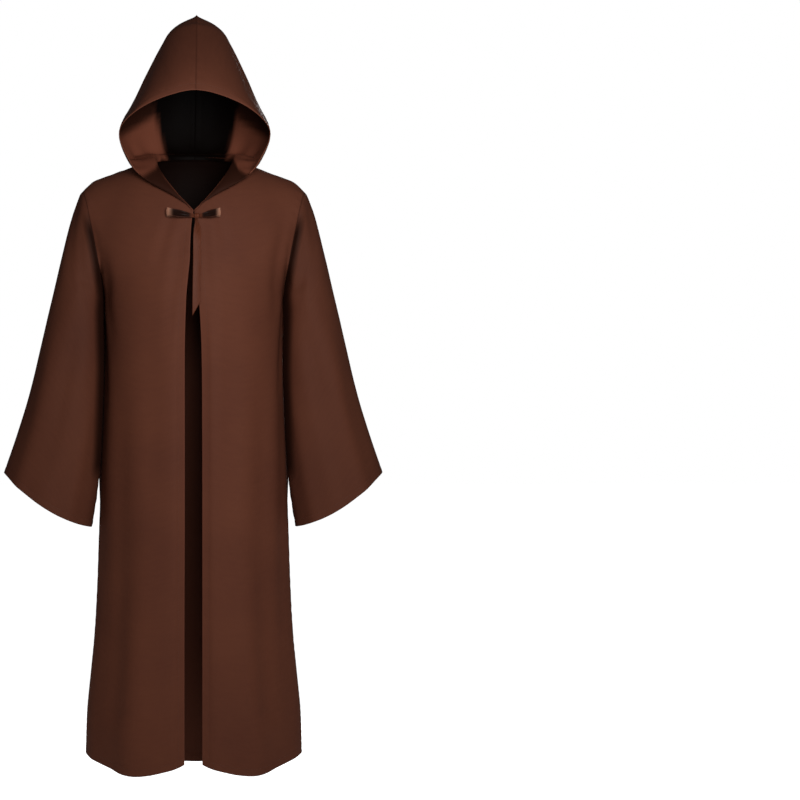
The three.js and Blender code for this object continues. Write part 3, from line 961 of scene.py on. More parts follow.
def tinted(
    tree: bpy.types.NodeTree, base: bpy.types.NodeSocket, tints: Sequence[Tint]
) -> bpy.types.NodeSocket:
    """Lays tints over a colour, one after the other.

    Args:
        tree: Tree that takes the nodes.
        base: The colour below them.
        tints: The tints in order.

    Returns:
        The colour above them.
    """
    for tint in tints:
        amount = add_node(tree, "ShaderNodeAttribute", {"attribute_name": tint.attribute}).outputs["Fac"]
        if tint.reach:
            ends = {"From Max": tint.reach * MM, "To Min": tint.strength, "To Max": 0.0}
            amount = add_node(tree, "ShaderNodeMapRange", ends, {"Value": amount}).outputs["Result"]
        colour = {"data_type": "RGBA", 7: linear(tint.colour)}
        base = add_node(tree, "ShaderNodeMix", colour, {"Factor": amount, 6: base}).outputs[2]
    return base


@dataclass(frozen=True)
class WovenPolyester:
    """Woven polyester of a costume robe: smooth and matt, with a faint soft gloss on its curves.

    The threads are about 0.3 mm apart, which is too fine to show, so they are drawn 1.1 mm apart.
    """

    name: str = "woven_polyester_brown"
    light: str = "#673b2b"
    dark: str = "#5c3427"
    seam: str = "#341a12"
    # Hem edges: worn, with a painted highlight where the turned edges catch the light; also the sheen's
    # tint
    worn: str = "#7a4838"
    # The wrong side, painted lighter to stand in for light on the inner walls of the hood and robe
    wrong_side: str = "#7d4735"
    # Near black, for the painted shade deep in the hood, the neck and under the arms
    hollow: str = "#070302"
    roughness: float = 0.62
    sheen: float = 0.05
    sheen_roughness: float = 0.5
    specular: float = 0.05
    ior: float = 1.5
    thread_mm: float = 1.1
    thread_relief_mm: float = 0.09
    thread_strength: float = 0.5
    mottle_mm: float = 170.0
    mottle_rough: float = 0.45
    slub_mm: float = 9.0
    slub_rough: float = 0.6
    slub_drawn: float = 0.25
    slub_relief_mm: float = 0.25
    slub_strength: float = 0.6
    slub_share: float = 0.3
    seam_reach_mm: float = 3.0
    seam_shade: float = 0.4
    # How far and how strongly the hem edges' wear and painted highlight reach
    worn_reach_mm: float = 2.5
    worn_shade: float = 0.5

    def build(self) -> bpy.types.Material:
        """Makes the material from the cloth's UV map in metres, its attributes and object coordinates.

        Returns:
            The material.
        """
        settings = {
            "Roughness": self.roughness,
            "Sheen Weight": self.sheen,
            "Sheen Roughness": self.sheen_roughness,
            "Sheen Tint": linear(self.worn),
            "Specular IOR Level": self.specular,
            "IOR": self.ior,
        }
        material, tree, shader = start_material(self.name, settings)
        place = add_node(tree, "ShaderNodeTexCoord").outputs["Object"]
        cut = add_node(tree, "ShaderNodeUVMap", {"uv_map": "cut"}).outputs["UV"]
        # Slubs are thicker stretches of thread, so their noise is drawn out across the cut
        scale = {"Scale": (self.slub_drawn, 1.0, 1.0)}
        drawn = add_node(tree, "ShaderNodeMapping", scale, {"Vector": cut}).outputs["Vector"]
        patterns = {}
        for socket, size, detail, rough, vector in (
            (2, self.mottle_mm, 2.0, self.mottle_rough, place),
            (3, self.slub_mm, 4.0, self.slub_rough, drawn),
        ):
            noise = {"Scale": 1 / (size * MM), "Detail": detail, "Roughness": rough}
            texture = add_node(tree, "ShaderNodeTexNoise", noise, {"Vector": vector})
            patterns[socket] = texture.outputs["Fac"]
        share = {"data_type": "FLOAT", "Factor": self.slub_share}
        tone = add_node(tree, "ShaderNodeMix", share, patterns).outputs[0]
        # Painted on last: darker along the seams; hem edges lighter from wear and a painted highlight; the
        # wrong side painted lighter for the lit inner walls; painted shade deep in the hood, the neck and
        # under the arms, where little light gets
        tints = (
            Tint("seam_distance", self.seam, self.seam_reach_mm, self.seam_shade),
            Tint("hem_distance", self.worn, self.worn_reach_mm, self.worn_shade),
            Tint("wrong_side", self.wrong_side),
            Tint("hollow", self.hollow),
        )
        finished = tinted(tree, two_toned(tree, tone, self.dark, self.light), tints)
        tree.links.new(finished, shader.inputs["Base Color"])
        tree.links.new(self._relief(tree, cut, patterns[3]), shader.inputs["Normal"])
        return material

    def _relief(
        self, tree: bpy.types.NodeTree, cut: bpy.types.NodeSocket, slub: bpy.types.NodeSocket
    ) -> bpy.types.NodeSocket:
        """Raises the warp and weft threads, and the slubs under them.

        Args:
            tree: The material's tree.
            cut: The cloth's UV map.
            slub: The slubs' pattern.

        Returns:
            The surface's direction.
        """
        threads = {}
        for number, direction in enumerate(("X", "Y")):
            wave = {"bands_direction": direction, "Scale": WAVE_REPEAT / (self.thread_mm * MM)}
            texture = add_node(tree, "ShaderNodeTexWave", wave, {"Vector": cut})
            threads[number] = texture.outputs["Fac"]
        weave = add_node(tree, "ShaderNodeMath", {"operation": "MAXIMUM"}, threads)
        slubs = {"Strength": self.slub_strength, "Distance": self.slub_relief_mm * MM}
        coarse = add_node(tree, "ShaderNodeBump", slubs, {"Height": slub})
        raised = {"Strength": self.thread_strength, "Distance": self.thread_relief_mm * MM}
        heights = {"Height": weave.outputs[0], "Normal": coarse.outputs["Normal"]}
        return add_node(tree, "ShaderNodeBump", raised, heights).outputs["Normal"]


@dataclass(frozen=True)
class SatinRibbon:
    """Polyester satin ribbon: long floating threads that run lengthwise give it a bright, soft gloss."""

    name: str = "satin_ribbon_brown"
    light: str = "#653523"
    dark: str = "#512818"
    # Colours of the painted shade on a loop's flat and of the painted highlight on its ends
    fold: str = "#150a07"
    glint: str = "#c08a70"
    roughness: float = 0.42
    anisotropic: float = 0.4
    specular: float = 0.06
    sheen: float = 0.03
    thread_mm: float = 0.9
    thread_drawn: float = 0.08
    thread_relief_mm: float = 0.05
    thread_strength: float = 0.4

    def build(self) -> bpy.types.Material:
        """Makes the material, with its threads along the ribbon's UV map.

        Returns:
            The material.
        """
        settings = {
            "Roughness": self.roughness,
            "Anisotropic": self.anisotropic,
            "Specular IOR Level": self.specular,
            "Sheen Weight": self.sheen,
        }
        material, tree, shader = start_material(self.name, settings)
        cut = add_node(tree, "ShaderNodeUVMap", {"uv_map": "cut"}).outputs["UV"]
        scale = {"Scale": (1.0, self.thread_drawn, 1.0)}
        drawn = add_node(tree, "ShaderNodeMapping", scale, {"Vector": cut}).outputs["Vector"]
        noise = {"Scale": 1 / (self.thread_mm * MM), "Detail": 2.0}
        threads = add_node(tree, "ShaderNodeTexNoise", noise, {"Vector": drawn}).outputs["Fac"]
        # Painted shade on the flat of a loop, which turns away from the light, and a painted highlight on
        # its round ends, which catch it
        tints = (Tint("fold_shade", self.fold), Tint("glint", self.glint))
        lit = tinted(tree, two_toned(tree, threads, self.dark, self.light), tints)
        tree.links.new(lit, shader.inputs["Base Color"])
        raised = {"Strength": self.thread_strength, "Distance": self.thread_relief_mm * MM}
        relief = add_node(tree, "ShaderNodeBump", raised, {"Height": threads})
        tree.links.new(relief.outputs["Normal"], shader.inputs["Normal"])
        return material


@dataclass(frozen=True)
class SewingThread:
    """Spun polyester sewing thread, a shade darker than the cloth, with a dull gloss."""

    name: str = "spun_sewing_thread"
    colour: str = "#4a2c22"
    pale: str = "#5c382b"
    roughness: float = 0.55
    twist_mm: float = 0.8

    def build(self) -> bpy.types.Material:
        """Makes the material, with its twist as fine bands.

        Returns:
            The material.
        """
        material, tree, shader = start_material(self.name, {"Roughness": self.roughness})
        place = add_node(tree, "ShaderNodeTexCoord").outputs["Object"]
        wave = {"bands_direction": "DIAGONAL", "Scale": WAVE_REPEAT / (self.twist_mm * MM)}
        twist = add_node(tree, "ShaderNodeTexWave", wave, {"Vector": place}).outputs["Fac"]
        colours = {"data_type": "RGBA", 6: linear(self.colour), 7: linear(self.pale)}
        base = add_node(tree, "ShaderNodeMix", colours, {"Factor": twist}).outputs[2]
        tree.links.new(base, shader.inputs["Base Color"])
        return material


@dataclass(frozen=True)
class StudioPaint:
    """Matt white studio floor, lit softly from all round."""

    name: str = "studio_floor_white"
    colour: str = "#f7f7f7"
    shade: str = "#efefef"
    roughness: float = 0.9
    specular: float = 0.1
    patch_scale: float = 0.6
    glow: float = 0.05
    near_glow: float = 0.7
    far_glow: float = 1.05
    near: float = -0.1
    far: float = 0.45
    rim: float = 1.5
    edge: float = 2.4

    def build(self) -> bpy.types.Material:
        """Makes the floor's material.

        Returns:
            The material.
        """
        settings = {
            "Roughness": self.roughness,
            "Specular IOR Level": self.specular,
            "Emission Color": linear(self.colour),
        }
        material, tree, shader = start_material(self.name, settings)
        place = add_node(tree, "ShaderNodeTexCoord").outputs["Object"]
        away = add_node(tree, "ShaderNodeSeparateXYZ", links={"Vector": place}).outputs["Y"]
        length = {"operation": "LENGTH"}
        reach = add_node(tree, "ShaderNodeVectorMath", length, {0: place}).outputs["Value"]
        # White far off on every side, and behind the garment already from its hem on
        glows = {}
        for number, (value, start, end) in enumerate(
            ((away, self.near, self.far), (reach, self.rim, self.edge))
        ):
            ends = {"From Min": start, "From Max": end, "To Min": self.near_glow, "To Max": self.far_glow}
            spread = add_node(tree, "ShaderNodeMapRange", ends, {"Value": value})
            glows[number] = spread.outputs["Result"]
        either = add_node(tree, "ShaderNodeMath", {"operation": "MAXIMUM"}, glows).outputs["Value"]
        # The floor is seen bright but sends little light up into the garment
        seen = add_node(tree, "ShaderNodeLightPath").outputs["Is Camera Ray"]
        links = {"Value": seen, "To Max": either}
        glow = add_node(tree, "ShaderNodeMapRange", {"To Min": self.glow}, links).outputs["Result"]
        tree.links.new(glow, shader.inputs["Emission Strength"])
        patch = add_node(tree, "ShaderNodeTexNoise", {"Scale": self.patch_scale}, {"Vector": place})
        colours = {"data_type": "RGBA", 6: linear(self.shade), 7: linear(self.colour)}
        base = add_node(tree, "ShaderNodeMix", colours, {"Factor": patch.outputs["Fac"]})
        tree.links.new(base.outputs[2], shader.inputs["Base Color"])
        return material



# Pieces of the garment


@dataclass
class Stop:
    """Where a panel's column ends: its place, how far the cloth has turned over, how straight it runs."""

    point: np.ndarray
    over: float
    straight: float


@dataclass
class Robe:
    """The two front panels and the back."""

    step_across: float = 6.5
    step_along: float = 8.0
    crowd_across: float = 0.72
    crowd_along: float = 0.6
    corner_reach: float = 55.0
    side_fill: float = 7.0
    # Painted shade on the inner side: in front, and behind from low down up to the yoke
    dark_front: float = 0.45
    dark_low: float = 0.58
    dark_yoke: float = 0.98
    dark_from_y: float = -40.0
    flat_front: tuple[float, float] = (0.3, 1.37)
    flat_back: tuple[float, float] = (0.6, 1.33)
    front_creases: tuple[Crease, ...] = (
        Crease(((0.93, 0.9), (0.8, 0.83), (0.66, 0.72)), 2.2, 13),
        Crease(((0.97, 0.8), (0.86, 0.72), (0.77, 0.6)), 1.8, 11),
        Crease(((0.1, 0.985), (0.2, 0.93), (0.32, 0.85)), 1.5, 9),
        Crease(((0.06, 0.95), (0.1, 0.86), (0.13, 0.7)), 1.6, 10),
        Crease(((0.3, 0.8), (0.27, 0.55), (0.24, 0.3)), 1.3, 20),
        Crease(((0.56, 0.66), (0.52, 0.4), (0.5, 0.1)), 2.4, 22, True),
        Crease(((0.82, 0.7), (0.76, 0.45), (0.74, 0.2)), 2.0, 17),
        Crease(((0.4, 0.35), (0.39, 0.16), (0.4, 0.0)), -2.2, 20, True),
        Crease(((0.9, 0.45), (0.87, 0.2), (0.88, 0.0)), -2.6, 18, True),
    )
    back_creases: tuple[Crease, ...] = (
        Crease(((0.05, 0.86), (0.14, 0.8), (0.24, 0.7)), 2.3, 13),
        Crease(((0.95, 0.87), (0.85, 0.8), (0.77, 0.67)), 2.0, 12),
        Crease(((0.02, 0.78), (0.1, 0.7), (0.15, 0.57)), 1.7, 11),
        Crease(((0.98, 0.79), (0.9, 0.72), (0.86, 0.6)), 1.9, 10),
        Crease(((0.38, 0.97), (0.34, 0.9), (0.33, 0.8)), 1.4, 14),
        Crease(((0.63, 0.97), (0.66, 0.89), (0.66, 0.77)), 1.5, 15),
        Crease(((0.45, 0.62), (0.46, 0.38), (0.47, 0.14)), 1.6, 24),
        Crease(((0.22, 0.58), (0.21, 0.3), (0.2, 0.06)), 2.4, 20),
        Crease(((0.74, 0.52), (0.73, 0.28), (0.74, 0.08)), 2.1, 21),
        Crease(((0.33, 0.4), (0.33, 0.2), (0.34, 0.0)), -2.3, 20, True),
        Crease(((0.6, 0.44), (0.6, 0.2), (0.59, 0.0)), -2.0, 22, True),
    )

    def fold_out(self, folds: Sequence[Fold], at: float, z: float) -> float:
        """How far the skirt's folds stand out at a place round a panel and a height."""
        grow = 1 - smooth(z, FOLD_FULL_Z, FOLD_TOP_Z)
        return grow * sum(f.out * math.exp(-(((at - f.at) / f.width) ** 2)) for f in folds)

    def front_ring(self, at: float, z: float, slit: str) -> np.ndarray:
        """Point of the front panel's section: 0 at the front edge, 1 at the side seam or armhole.

        Args:
            at: Place round the panel.
            z: Height.
            slit: Field with the front edge's distance from the middle.

        Returns:
            The point.
        """
        section = row_at(BODY_SECTIONS, "z", z)
        turn = math.radians(section["turn"])
        half = section["side"] / math.sin(turn)
        edge = section[slit]
        angle = mix(math.asin(edge / half), turn, at)
        x = half * math.sin(angle)
        near_edge = math.exp(-(((x - edge) / EDGE_ROLL_WIDTH) ** 2))
        roll = EDGE_ROLL_DEEP * near_edge * (1 - smooth(z, EDGE_ROLL_FULL_Z, EDGE_ROLL_GONE_Z))
        out = self.fold_out(FRONT_FOLDS, at, z)
        deep = section["front"] * max(0, math.cos(angle)) ** PANEL_FULLNESS
        return np.array([x + out * math.sin(angle), -deep + roll - out * math.cos(angle), z])

    def back_ring(self, at: float, z: float) -> np.ndarray:
        """Point of the back's section: 0 at the wearer's right side, 1 at the left side.

        Args:
            at: Place round the panel.
            z: Height.

        Returns:
            The point.
        """
        section = row_at(BODY_SECTIONS, "z", z)
        turn = math.radians(section["turn"])
        half = section["side"] / math.sin(turn)
        angle = mix(-turn, turn, at)
        out = self.fold_out(BACK_FOLDS, at, z)
        deep = section["back"] * max(0, math.cos(angle)) ** PANEL_FULLNESS
        return np.array([(half + out) * math.sin(angle), deep + out * math.cos(angle), z])

    def panel(
        self,
        ring: Callable[[float, float], np.ndarray],
        hem: Callable[[float], float],
        top: Sequence[Stop],
        ats: Sequence[float],
    ) -> np.ndarray:
        """Coarse grid of a panel: hem to underarm, underarm to yoke, then over to its top border.

        Args:
            ring: Point of a section at a place round it and a height.
            hem: Height of the hem at a place round the panel.
            top: Where each column ends.
            ats: Place of each column round the panel.

        Returns:
            Grid of shape (rows, columns, 3).
        """
        grid = [
            [ring(at, mix(hem(at), UNDERARM_Z, i / SKIRT_ROWS)) for at in ats]
            for i in range(SKIRT_ROWS)
        ]
        grid += [
            [ring(at, mix(UNDERARM_Z, YOKE_Z, i / ARMHOLE_ROWS)) for at in ats]
            for i in range(ARMHOLE_ROWS)
        ]
        starts = [ring(at, YOKE_Z) for at in ats]
        for i in range(YOKE_ROWS + 1):
            grid.append([self.over(start, end, i / YOKE_ROWS) for start, end in zip(starts, top)])
        return self.relaxed(np.array(grid))

    def over(self, start: np.ndarray, end: Stop, share: float) -> np.ndarray:
        """Point of a column on its way over the yoke, from its start to its stop.

        Args:
            start: The column's point at the yoke's foot.
            end: Where it stops.
            share: How far along it is, from 0 to 1.

        Returns:
            The point.
        """
        turned = math.radians(end.over)
        angle = turned * share
        rise = (math.sin(angle) / math.sin(turned)) ** YOKE_POWER
        inwards = (1 - math.cos(angle) ** YOKE_POWER) / (1 - math.cos(turned) ** YOKE_POWER)
        return np.array(
            [
                mix(start[0], end.point[0], mix(inwards, rise, end.straight)),
                mix(start[1], end.point[1], inwards),
                mix(YOKE_Z, end.point[2], rise),
            ]
        )

    def relaxed(self, grid: np.ndarray) -> np.ndarray:
        """Evens out the yoke: each inner point moves towards the middle of its neighbours.

        Args:
            grid: Coarse grid of a panel.

        Returns:
            The evened grid.
        """
        for _ in range(RELAX_ROUNDS):
            around = (grid[:-2, 1:-1] + grid[2:, 1:-1] + grid[1:-1, :-2] + grid[1:-1, 2:]) / 4
            moved = grid.copy()
            moved[1:-1, 1:-1] = (grid[1:-1, 1:-1] + around) / 2
            moved[: SKIRT_ROWS + 1] = grid[: SKIRT_ROWS + 1]
            grid = moved
        return grid

    def neck_front(self, t: float) -> np.ndarray:
        """Neckline in front: 0 at the side of the neck, 1 at the front corner.

        Args:
            t: Place along it.

        Returns:
            The point there.
        """
        angle = t * QUARTER
        fall = (1 - NECK_DIP) * math.sin(angle) + NECK_DIP * (1 - math.cos(angle))
        return np.array(
            [
                mix(NECK_FRONT.x, NECK_SIDE.x, math.cos(angle)),
                mix(NECK_SIDE.y, NECK_FRONT.y, math.sin(angle)),
                mix(NECK_SIDE.z, NECK_FRONT.z, fall),
            ]
        )

    def neck_back(self, t: float) -> np.ndarray:
        """Neckline behind: 0 at the nape, 1 at the side of the neck.

        Args:
            t: Place along it.

        Returns:
            The point there.
        """
        angle = t * QUARTER
        return np.array(
            [
                NECK_SIDE.x * math.sin(angle),
                mix(NECK_SIDE.y, NAPE.y, math.cos(angle)),
                mix(NECK_SIDE.z, NAPE.z, math.cos(angle)),
            ]
        )

    def neck_stop(self, point: np.ndarray, t: float) -> Stop:
        """End of a column on the neckline."""
        return Stop(point, mix(TURNED_NECK_SIDE, TURNED_NECK_FRONT, t), STRAIGHT_NECK)

    def shoulder_stop(self, t: float) -> Stop:
        """End of a column on the shoulder seam: 0 at the neck, 1 at the tip.

        Args:
            t: Place along the seam.

        Returns:
            The column's stop.
        """
        bend = max(0, (t - SHOULDER_TURN) / (1 - SHOULDER_TURN)) ** 2 * SHOULDER_DROP
        straight_end = np.array([SHOULDER_TIP.x, SHOULDER_TIP.y, SHOULDER_TIP.z + SHOULDER_DROP])
        point = mix(NECK_SIDE.array(), straight_end, t) - np.array([0, 0, bend])
        return Stop(point, TURNED_SHOULDER, mix(STRAIGHT_NECK, STRAIGHT_TIP, t))

    def front_grid(self, slit: str, gap: float) -> np.ndarray:
        """Coarse grid of the front panel on the +X side.

        Args:
            slit: Field with the front edge's distance from the middle.
            gap: Room left at the seams.

        Returns:
            Grid of shape (rows, columns, 3).
        """
        total = NECK_FRONT_STEPS + SHOULDER_STEPS
        ats = [bunched(j / total, BUNCH_FRONT) for j in range(total + 1)]
        top = []
        for j in range(total + 1):
            t = 1 - j / NECK_FRONT_STEPS
            if j <= NECK_FRONT_STEPS:
                top.append(self.neck_stop(self.neck_front(t), t))
            else:
                top.append(self.shoulder_stop((j - NECK_FRONT_STEPS) / SHOULDER_STEPS))
        grid = self.panel(
            lambda at, z: self.front_ring(at, z, slit),
            lambda at: row_at(FRONT_HEM, "at", at)["z"],
            top,
            ats,
        )
        return grid - np.array([0, gap / 2, 0])

    def back_grid(self, gap: float) -> np.ndarray:
        """Coarse grid of the back.

        Args:
            gap: Room left at the seams.

        Returns:
            Grid of shape (rows, columns, 3).
        """
        half = NECK_BACK_STEPS + SHOULDER_STEPS
        ats = [bunched(j / (2 * half), BUNCH_BACK) for j in range(2 * half + 1)]
        top = []
        for j in range(2 * half + 1):
            out = abs(j - half)
            if out <= NECK_BACK_STEPS:
                stop = self.neck_stop(self.neck_back(out / NECK_BACK_STEPS), 0)
            else:
                stop = self.shoulder_stop((out - NECK_BACK_STEPS) / SHOULDER_STEPS)
            stop.point[0] *= np.sign(j - half)
            top.append(stop)

        def hem(at: float) -> float:
            """Height of the hem, lowest in the middle."""
            return BACK_HEM_CENTRE + BACK_HEM_RISE * math.sin((at - 0.5) * math.pi) ** 2

        return self.panel(self.back_ring, hem, top, ats) + np.array([0, gap / 2, 0])

    def fine(self, name: str, grid: np.ndarray, corners: Sequence[int], facing: int) -> Cloth:
        """Fine grid of a panel, smooth everywhere but at its neckline's corners.

        Args:
            name: Node that the piece stands for.
            grid: Coarse grid.
            corners: Columns at which the top border turns from neckline to shoulder seam.
            facing: 1 or -1, whichever makes the normals point outwards.

        Returns:
            The piece as cloth, with its hems and seams.
        """
        rows, along = refined(grid, self.step_along, self.crowd_along)
        even, across = refined(turned(rows), self.step_across, self.crowd_across, turned(grid))
        across_knots = lengths(turned(grid)).mean(axis=1)
        cornered = even.copy()
        stops = [0, *corners, len(across_knots) - 1]
        for first, last in zip(stops[:-1], stops[1:]):
            knots = across_knots[first : last + 1]
            within = (across >= knots[0]) & (across <= knots[-1])
            cornered[within] = spline(turned(rows)[first : last + 1], knots, across[within])
        near_top = smooth(along, along[-1] - self.corner_reach, along[-1])[None, :, None]
        points = turned(mix(even, cornered, near_top))
        hems, seams = (Edge.FIRST_ROW, Edge.FIRST_COLUMN), (Edge.LAST_ROW, Edge.LAST_COLUMN)
        if name == "back":
            hems, seams = (Edge.FIRST_ROW,), (*seams, Edge.FIRST_COLUMN)
        cloth = Cloth(name, points, across, along, facing, hems, seams)
        # Painted shade on the panels' inner side
        cloth.inner_shade = self.hollow
        if name == "back":
            cloth.points = self.filled_out(cloth.points)
        return cloth

    def hollow(self, points: np.ndarray) -> np.ndarray:
        """How much painted shade each point of the robe's inner side takes, from 0 to 1, for the dark
        inside the robe.
        """
        dark = mix(self.dark_low, self.dark_yoke, smooth(points[..., 2], *BANDS.yoke_dark_z))
        return np.where(points[..., 1] > self.dark_from_y, dark, self.dark_front)

    def filled_out(self, points: np.ndarray) -> np.ndarray:
        """Lets the back stand out a little just behind its side seams, between sleeve and body.

        Args:
            points: Points of the back.

        Returns:
            The moved points.
        """
        x, y, z = (points[..., k] for k in range(3))
        beside = smooth(y, *BANDS.bulge_start_y) * (1 - smooth(y, *BANDS.bulge_end_y))
        high = smooth(z, *BANDS.bulge_start_z) * (1 - smooth(z, *BANDS.bulge_end_z))
        moved = points.copy()
        moved[..., 0] += self.side_fill * beside * high * np.sign(x)
        return moved

    def build(self) -> list[Cloth]:
        """Cuts, creases and sews the three panels.

        Returns:
            The front left, front right and back as cloth, not yet made into meshes.
        """
        left = self.front_grid("slit_left", SEWING.seam_gap)
        right = self.front_grid("slit_right", SEWING.seam_gap) * MIRRORED
        corners = [SHOULDER_STEPS, SHOULDER_STEPS + 2 * NECK_BACK_STEPS]
        cloths = [
            self.fine("front_left", left, [NECK_FRONT_STEPS], 1),
            self.fine("front_right", right, [NECK_FRONT_STEPS], -1),
            self.fine("back", self.back_grid(SEWING.seam_gap), corners, -1),
        ]
        other = varied(self.front_creases, shift=0.03, stretch=0.96, strength=0.85, width=1.1)
        for cloth, creases in zip(cloths, (self.front_creases, other, self.back_creases)):
            cloth.crease(creases)
            cloth.sew()
            # The valley at the side seams, with its painted shade beside the arm
            from_side = cloth.distance([edge for edge in cloth.seams if edge is not Edge.LAST_ROW])
            cloth.fold_in(from_side, from_side)
        return cloths


@dataclass
class Sleeves:
    """The two bell sleeves, each one piece closed under the arm."""

    robe: Robe
    step_around: float = 7.0
    step_along: float = 7.5
    crowd_along: float = 0.6
    flat: tuple[float, float] = (0.52, 0.6)
    # A little painted shade over the whole sleeve, and more beside the body and round the armhole
    painted_sleeve_shade: float = 0.18
    arm_shade: float = 0.85
    arm_shade_reach: tuple[float, float] = (5.0, 25.0)
    creases: tuple[Crease, ...] = (
        Crease(((0.46, 0.02), (0.4, 0.14), (0.3, 0.26)), 2.2, 12),
        Crease(((0.36, 0.03), (0.3, 0.12), (0.2, 0.2)), 1.9, 10),
        Crease(((0.12, 0.05), (0.2, 0.13), (0.3, 0.2)), 2.0, 10),
        Crease(((0.24, 0.25), (0.26, 0.55), (0.27, 0.88)), 2.6, 18),
        Crease(((0.38, 0.4), (0.37, 0.7), (0.37, 1.0)), -2.6, 17, True),
        Crease(((0.1, 0.42), (0.13, 0.7), (0.14, 1.0)), -2.2, 15, True),
        Crease(((0.56, 0.04), (0.62, 0.15), (0.72, 0.24)), 2.1, 12),
        Crease(((0.84, 0.06), (0.78, 0.16), (0.7, 0.22)), 1.8, 11),
        Crease(((0.72, 0.3), (0.7, 0.6), (0.71, 0.9)), 2.8, 19),
        Crease(((0.6, 0.45), (0.6, 0.72), (0.61, 1.0)), -2.4, 16, True),
        Crease(((0.86, 0.4), (0.84, 0.7), (0.85, 1.0)), -2.8, 18, True),
    )

    def grid(self, front: np.ndarray, back: np.ndarray) -> np.ndarray:
        """Coarse rings of the sleeve on the +X side, leaving the armhole's own points.

        Args:
            front: Coarse grid of the front panel.
            back: Coarse grid of the back.

        Returns:
            Grid of shape (rings, points, 3).
        """
        rise, fall = front[SKIRT_ROWS:, -1], back[SKIRT_ROWS:, -1]
        underarm, tip = (rise[0] + fall[0]) / 2, (rise[-1] + fall[-1]) / 2
        loop = np.array([underarm, *rise[1:-1], tip, *fall[1:-1][::-1]])
        half = len(loop) / 2
        angle = math.pi * (1 - np.arange(len(loop)) / half)
        across, deep = (1 - np.cos(angle)) / 2, np.sin(angle)
        away = np.array([SEWING.seam_gap, 0, 0])
        rings = []
        for i in range(SLEEVE_ROWS + 1):
            at = bunched(i / SLEEVE_ROWS, BUNCH_SLEEVE)
            ring = row_at(SLEEVE_RINGS, "at", at)
            fixed = smooth(at, 0, SLEEVE_SET_IN)
            shape = np.stack(
                [
                    mix(ring["out_x"], ring["in_x"], across),
                    -ring["forward"] * fixed - ring["deep"] * deep,
                    mix(ring["out_z"], ring["in_z"], across) - ring["bow"] * deep**2,
                ],
                axis=1,
            )
            rings.append(mix(loop + away, shape, fixed))
        return np.array(rings)

    def fine(self, name: str, grid: np.ndarray, facing: int) -> Cloth:
        """Fine grid of a sleeve, smooth all round.

        Args:
            name: Node that the piece stands for.
            grid: Coarse grid.
            facing: 1 or -1, whichever makes the normals point outwards.

        Returns:
            The sleeve as cloth.
        """
        rows, along = refined(grid, self.step_along, self.crowd_along)
        wrapped = turned(np.concatenate([rows[:, -2:], rows, rows[:, :3]], axis=1))
        knots = lengths(wrapped).mean(axis=1)
        first, last = knots[2], knots[2 + grid.shape[1]]
        count = round((last - first) / self.step_around)
        around = np.linspace(first, last, count, endpoint=False)
        points = turned(spline(wrapped, knots, around))
        hems, seams = (Edge.LAST_ROW,), (Edge.FIRST_ROW,)
        return Cloth(name, points, around - first, along, facing, hems, seams, closed=True)

    def build(self) -> list[Cloth]:
        """Cuts, creases and sews both sleeves.

        Returns:
            The left and right sleeve as cloth.
        """
        grid = self.grid(self.robe.front_grid("slit_left", 0), self.robe.back_grid(0))
        cloths = [self.fine("sleeve_left", grid, -1), self.fine("sleeve_right", grid * MIRRORED, 1)]
        other = varied(self.creases, shift=0.02, stretch=1.06, strength=0.9)
        inner_line = np.array(sorted((ring.in_z, ring.in_x) for ring in SLEEVE_RINGS))
        for cloth, creases in zip(cloths, (self.creases, other)):
            cloth.crease(creases)
            cloth.sew()
            x, z = np.abs(cloth.points[..., 0]), cloth.points[..., 2]
            beside_body = np.maximum(x - np.interp(z, *inner_line.T), 0)
            from_body = np.where(z < UNDERARM_Z, beside_body, FAR)
            from_seam = cloth.distance([Edge.FIRST_ROW])
            flat = cloth.points[..., ::2]
            seen = np.linalg.norm(flat[:, :, None] - flat[0], axis=3).min(axis=2)
            # Painted shade beside the body and along the armhole, as wide as it looks from in front, and a
            # little over the whole sleeve so it looks darker than the body
            cloth.shade_depth, cloth.shade_reach = self.arm_shade, self.arm_shade_reach
            cloth.fold_in(np.minimum(from_seam, from_body), np.minimum(seen, from_body))
            cloth.outer_shade = np.maximum(cloth.outer_shade, self.painted_sleeve_shade)
        return cloths


@dataclass(frozen=True)
class HoodDark:
    """The painted shade in the hood as it looks from in front, in millimetres and shares of full dark."""

    half_low: float = 58
    half_high: float = 91
    half_from_z: float = -10
    half_rise: float = 140
    half_most: float = 1.2
    side: tuple[float, float] = (-4, 9)
    chin_z: tuple[float, float] = (-25, 0)
    chin_y: tuple[float, float] = (-95, -70)
    bottom_x: tuple[float, ...] = (78, 88, 110, 135)
    bottom_z: tuple[float, ...] = (16, -14, -28, -45)
    bottom: tuple[float, float] = (-6, 8)
    bottom_share: float = 0.86
    seam_up: float = 3
    seam_width: float = 5
    seam_y: tuple[float, float] = (-95, -75)
    seam_share: float = 0.9
    top_slope: float = 0.75
    top: tuple[float, float] = (168, 192)
    top_share: float = 0.85


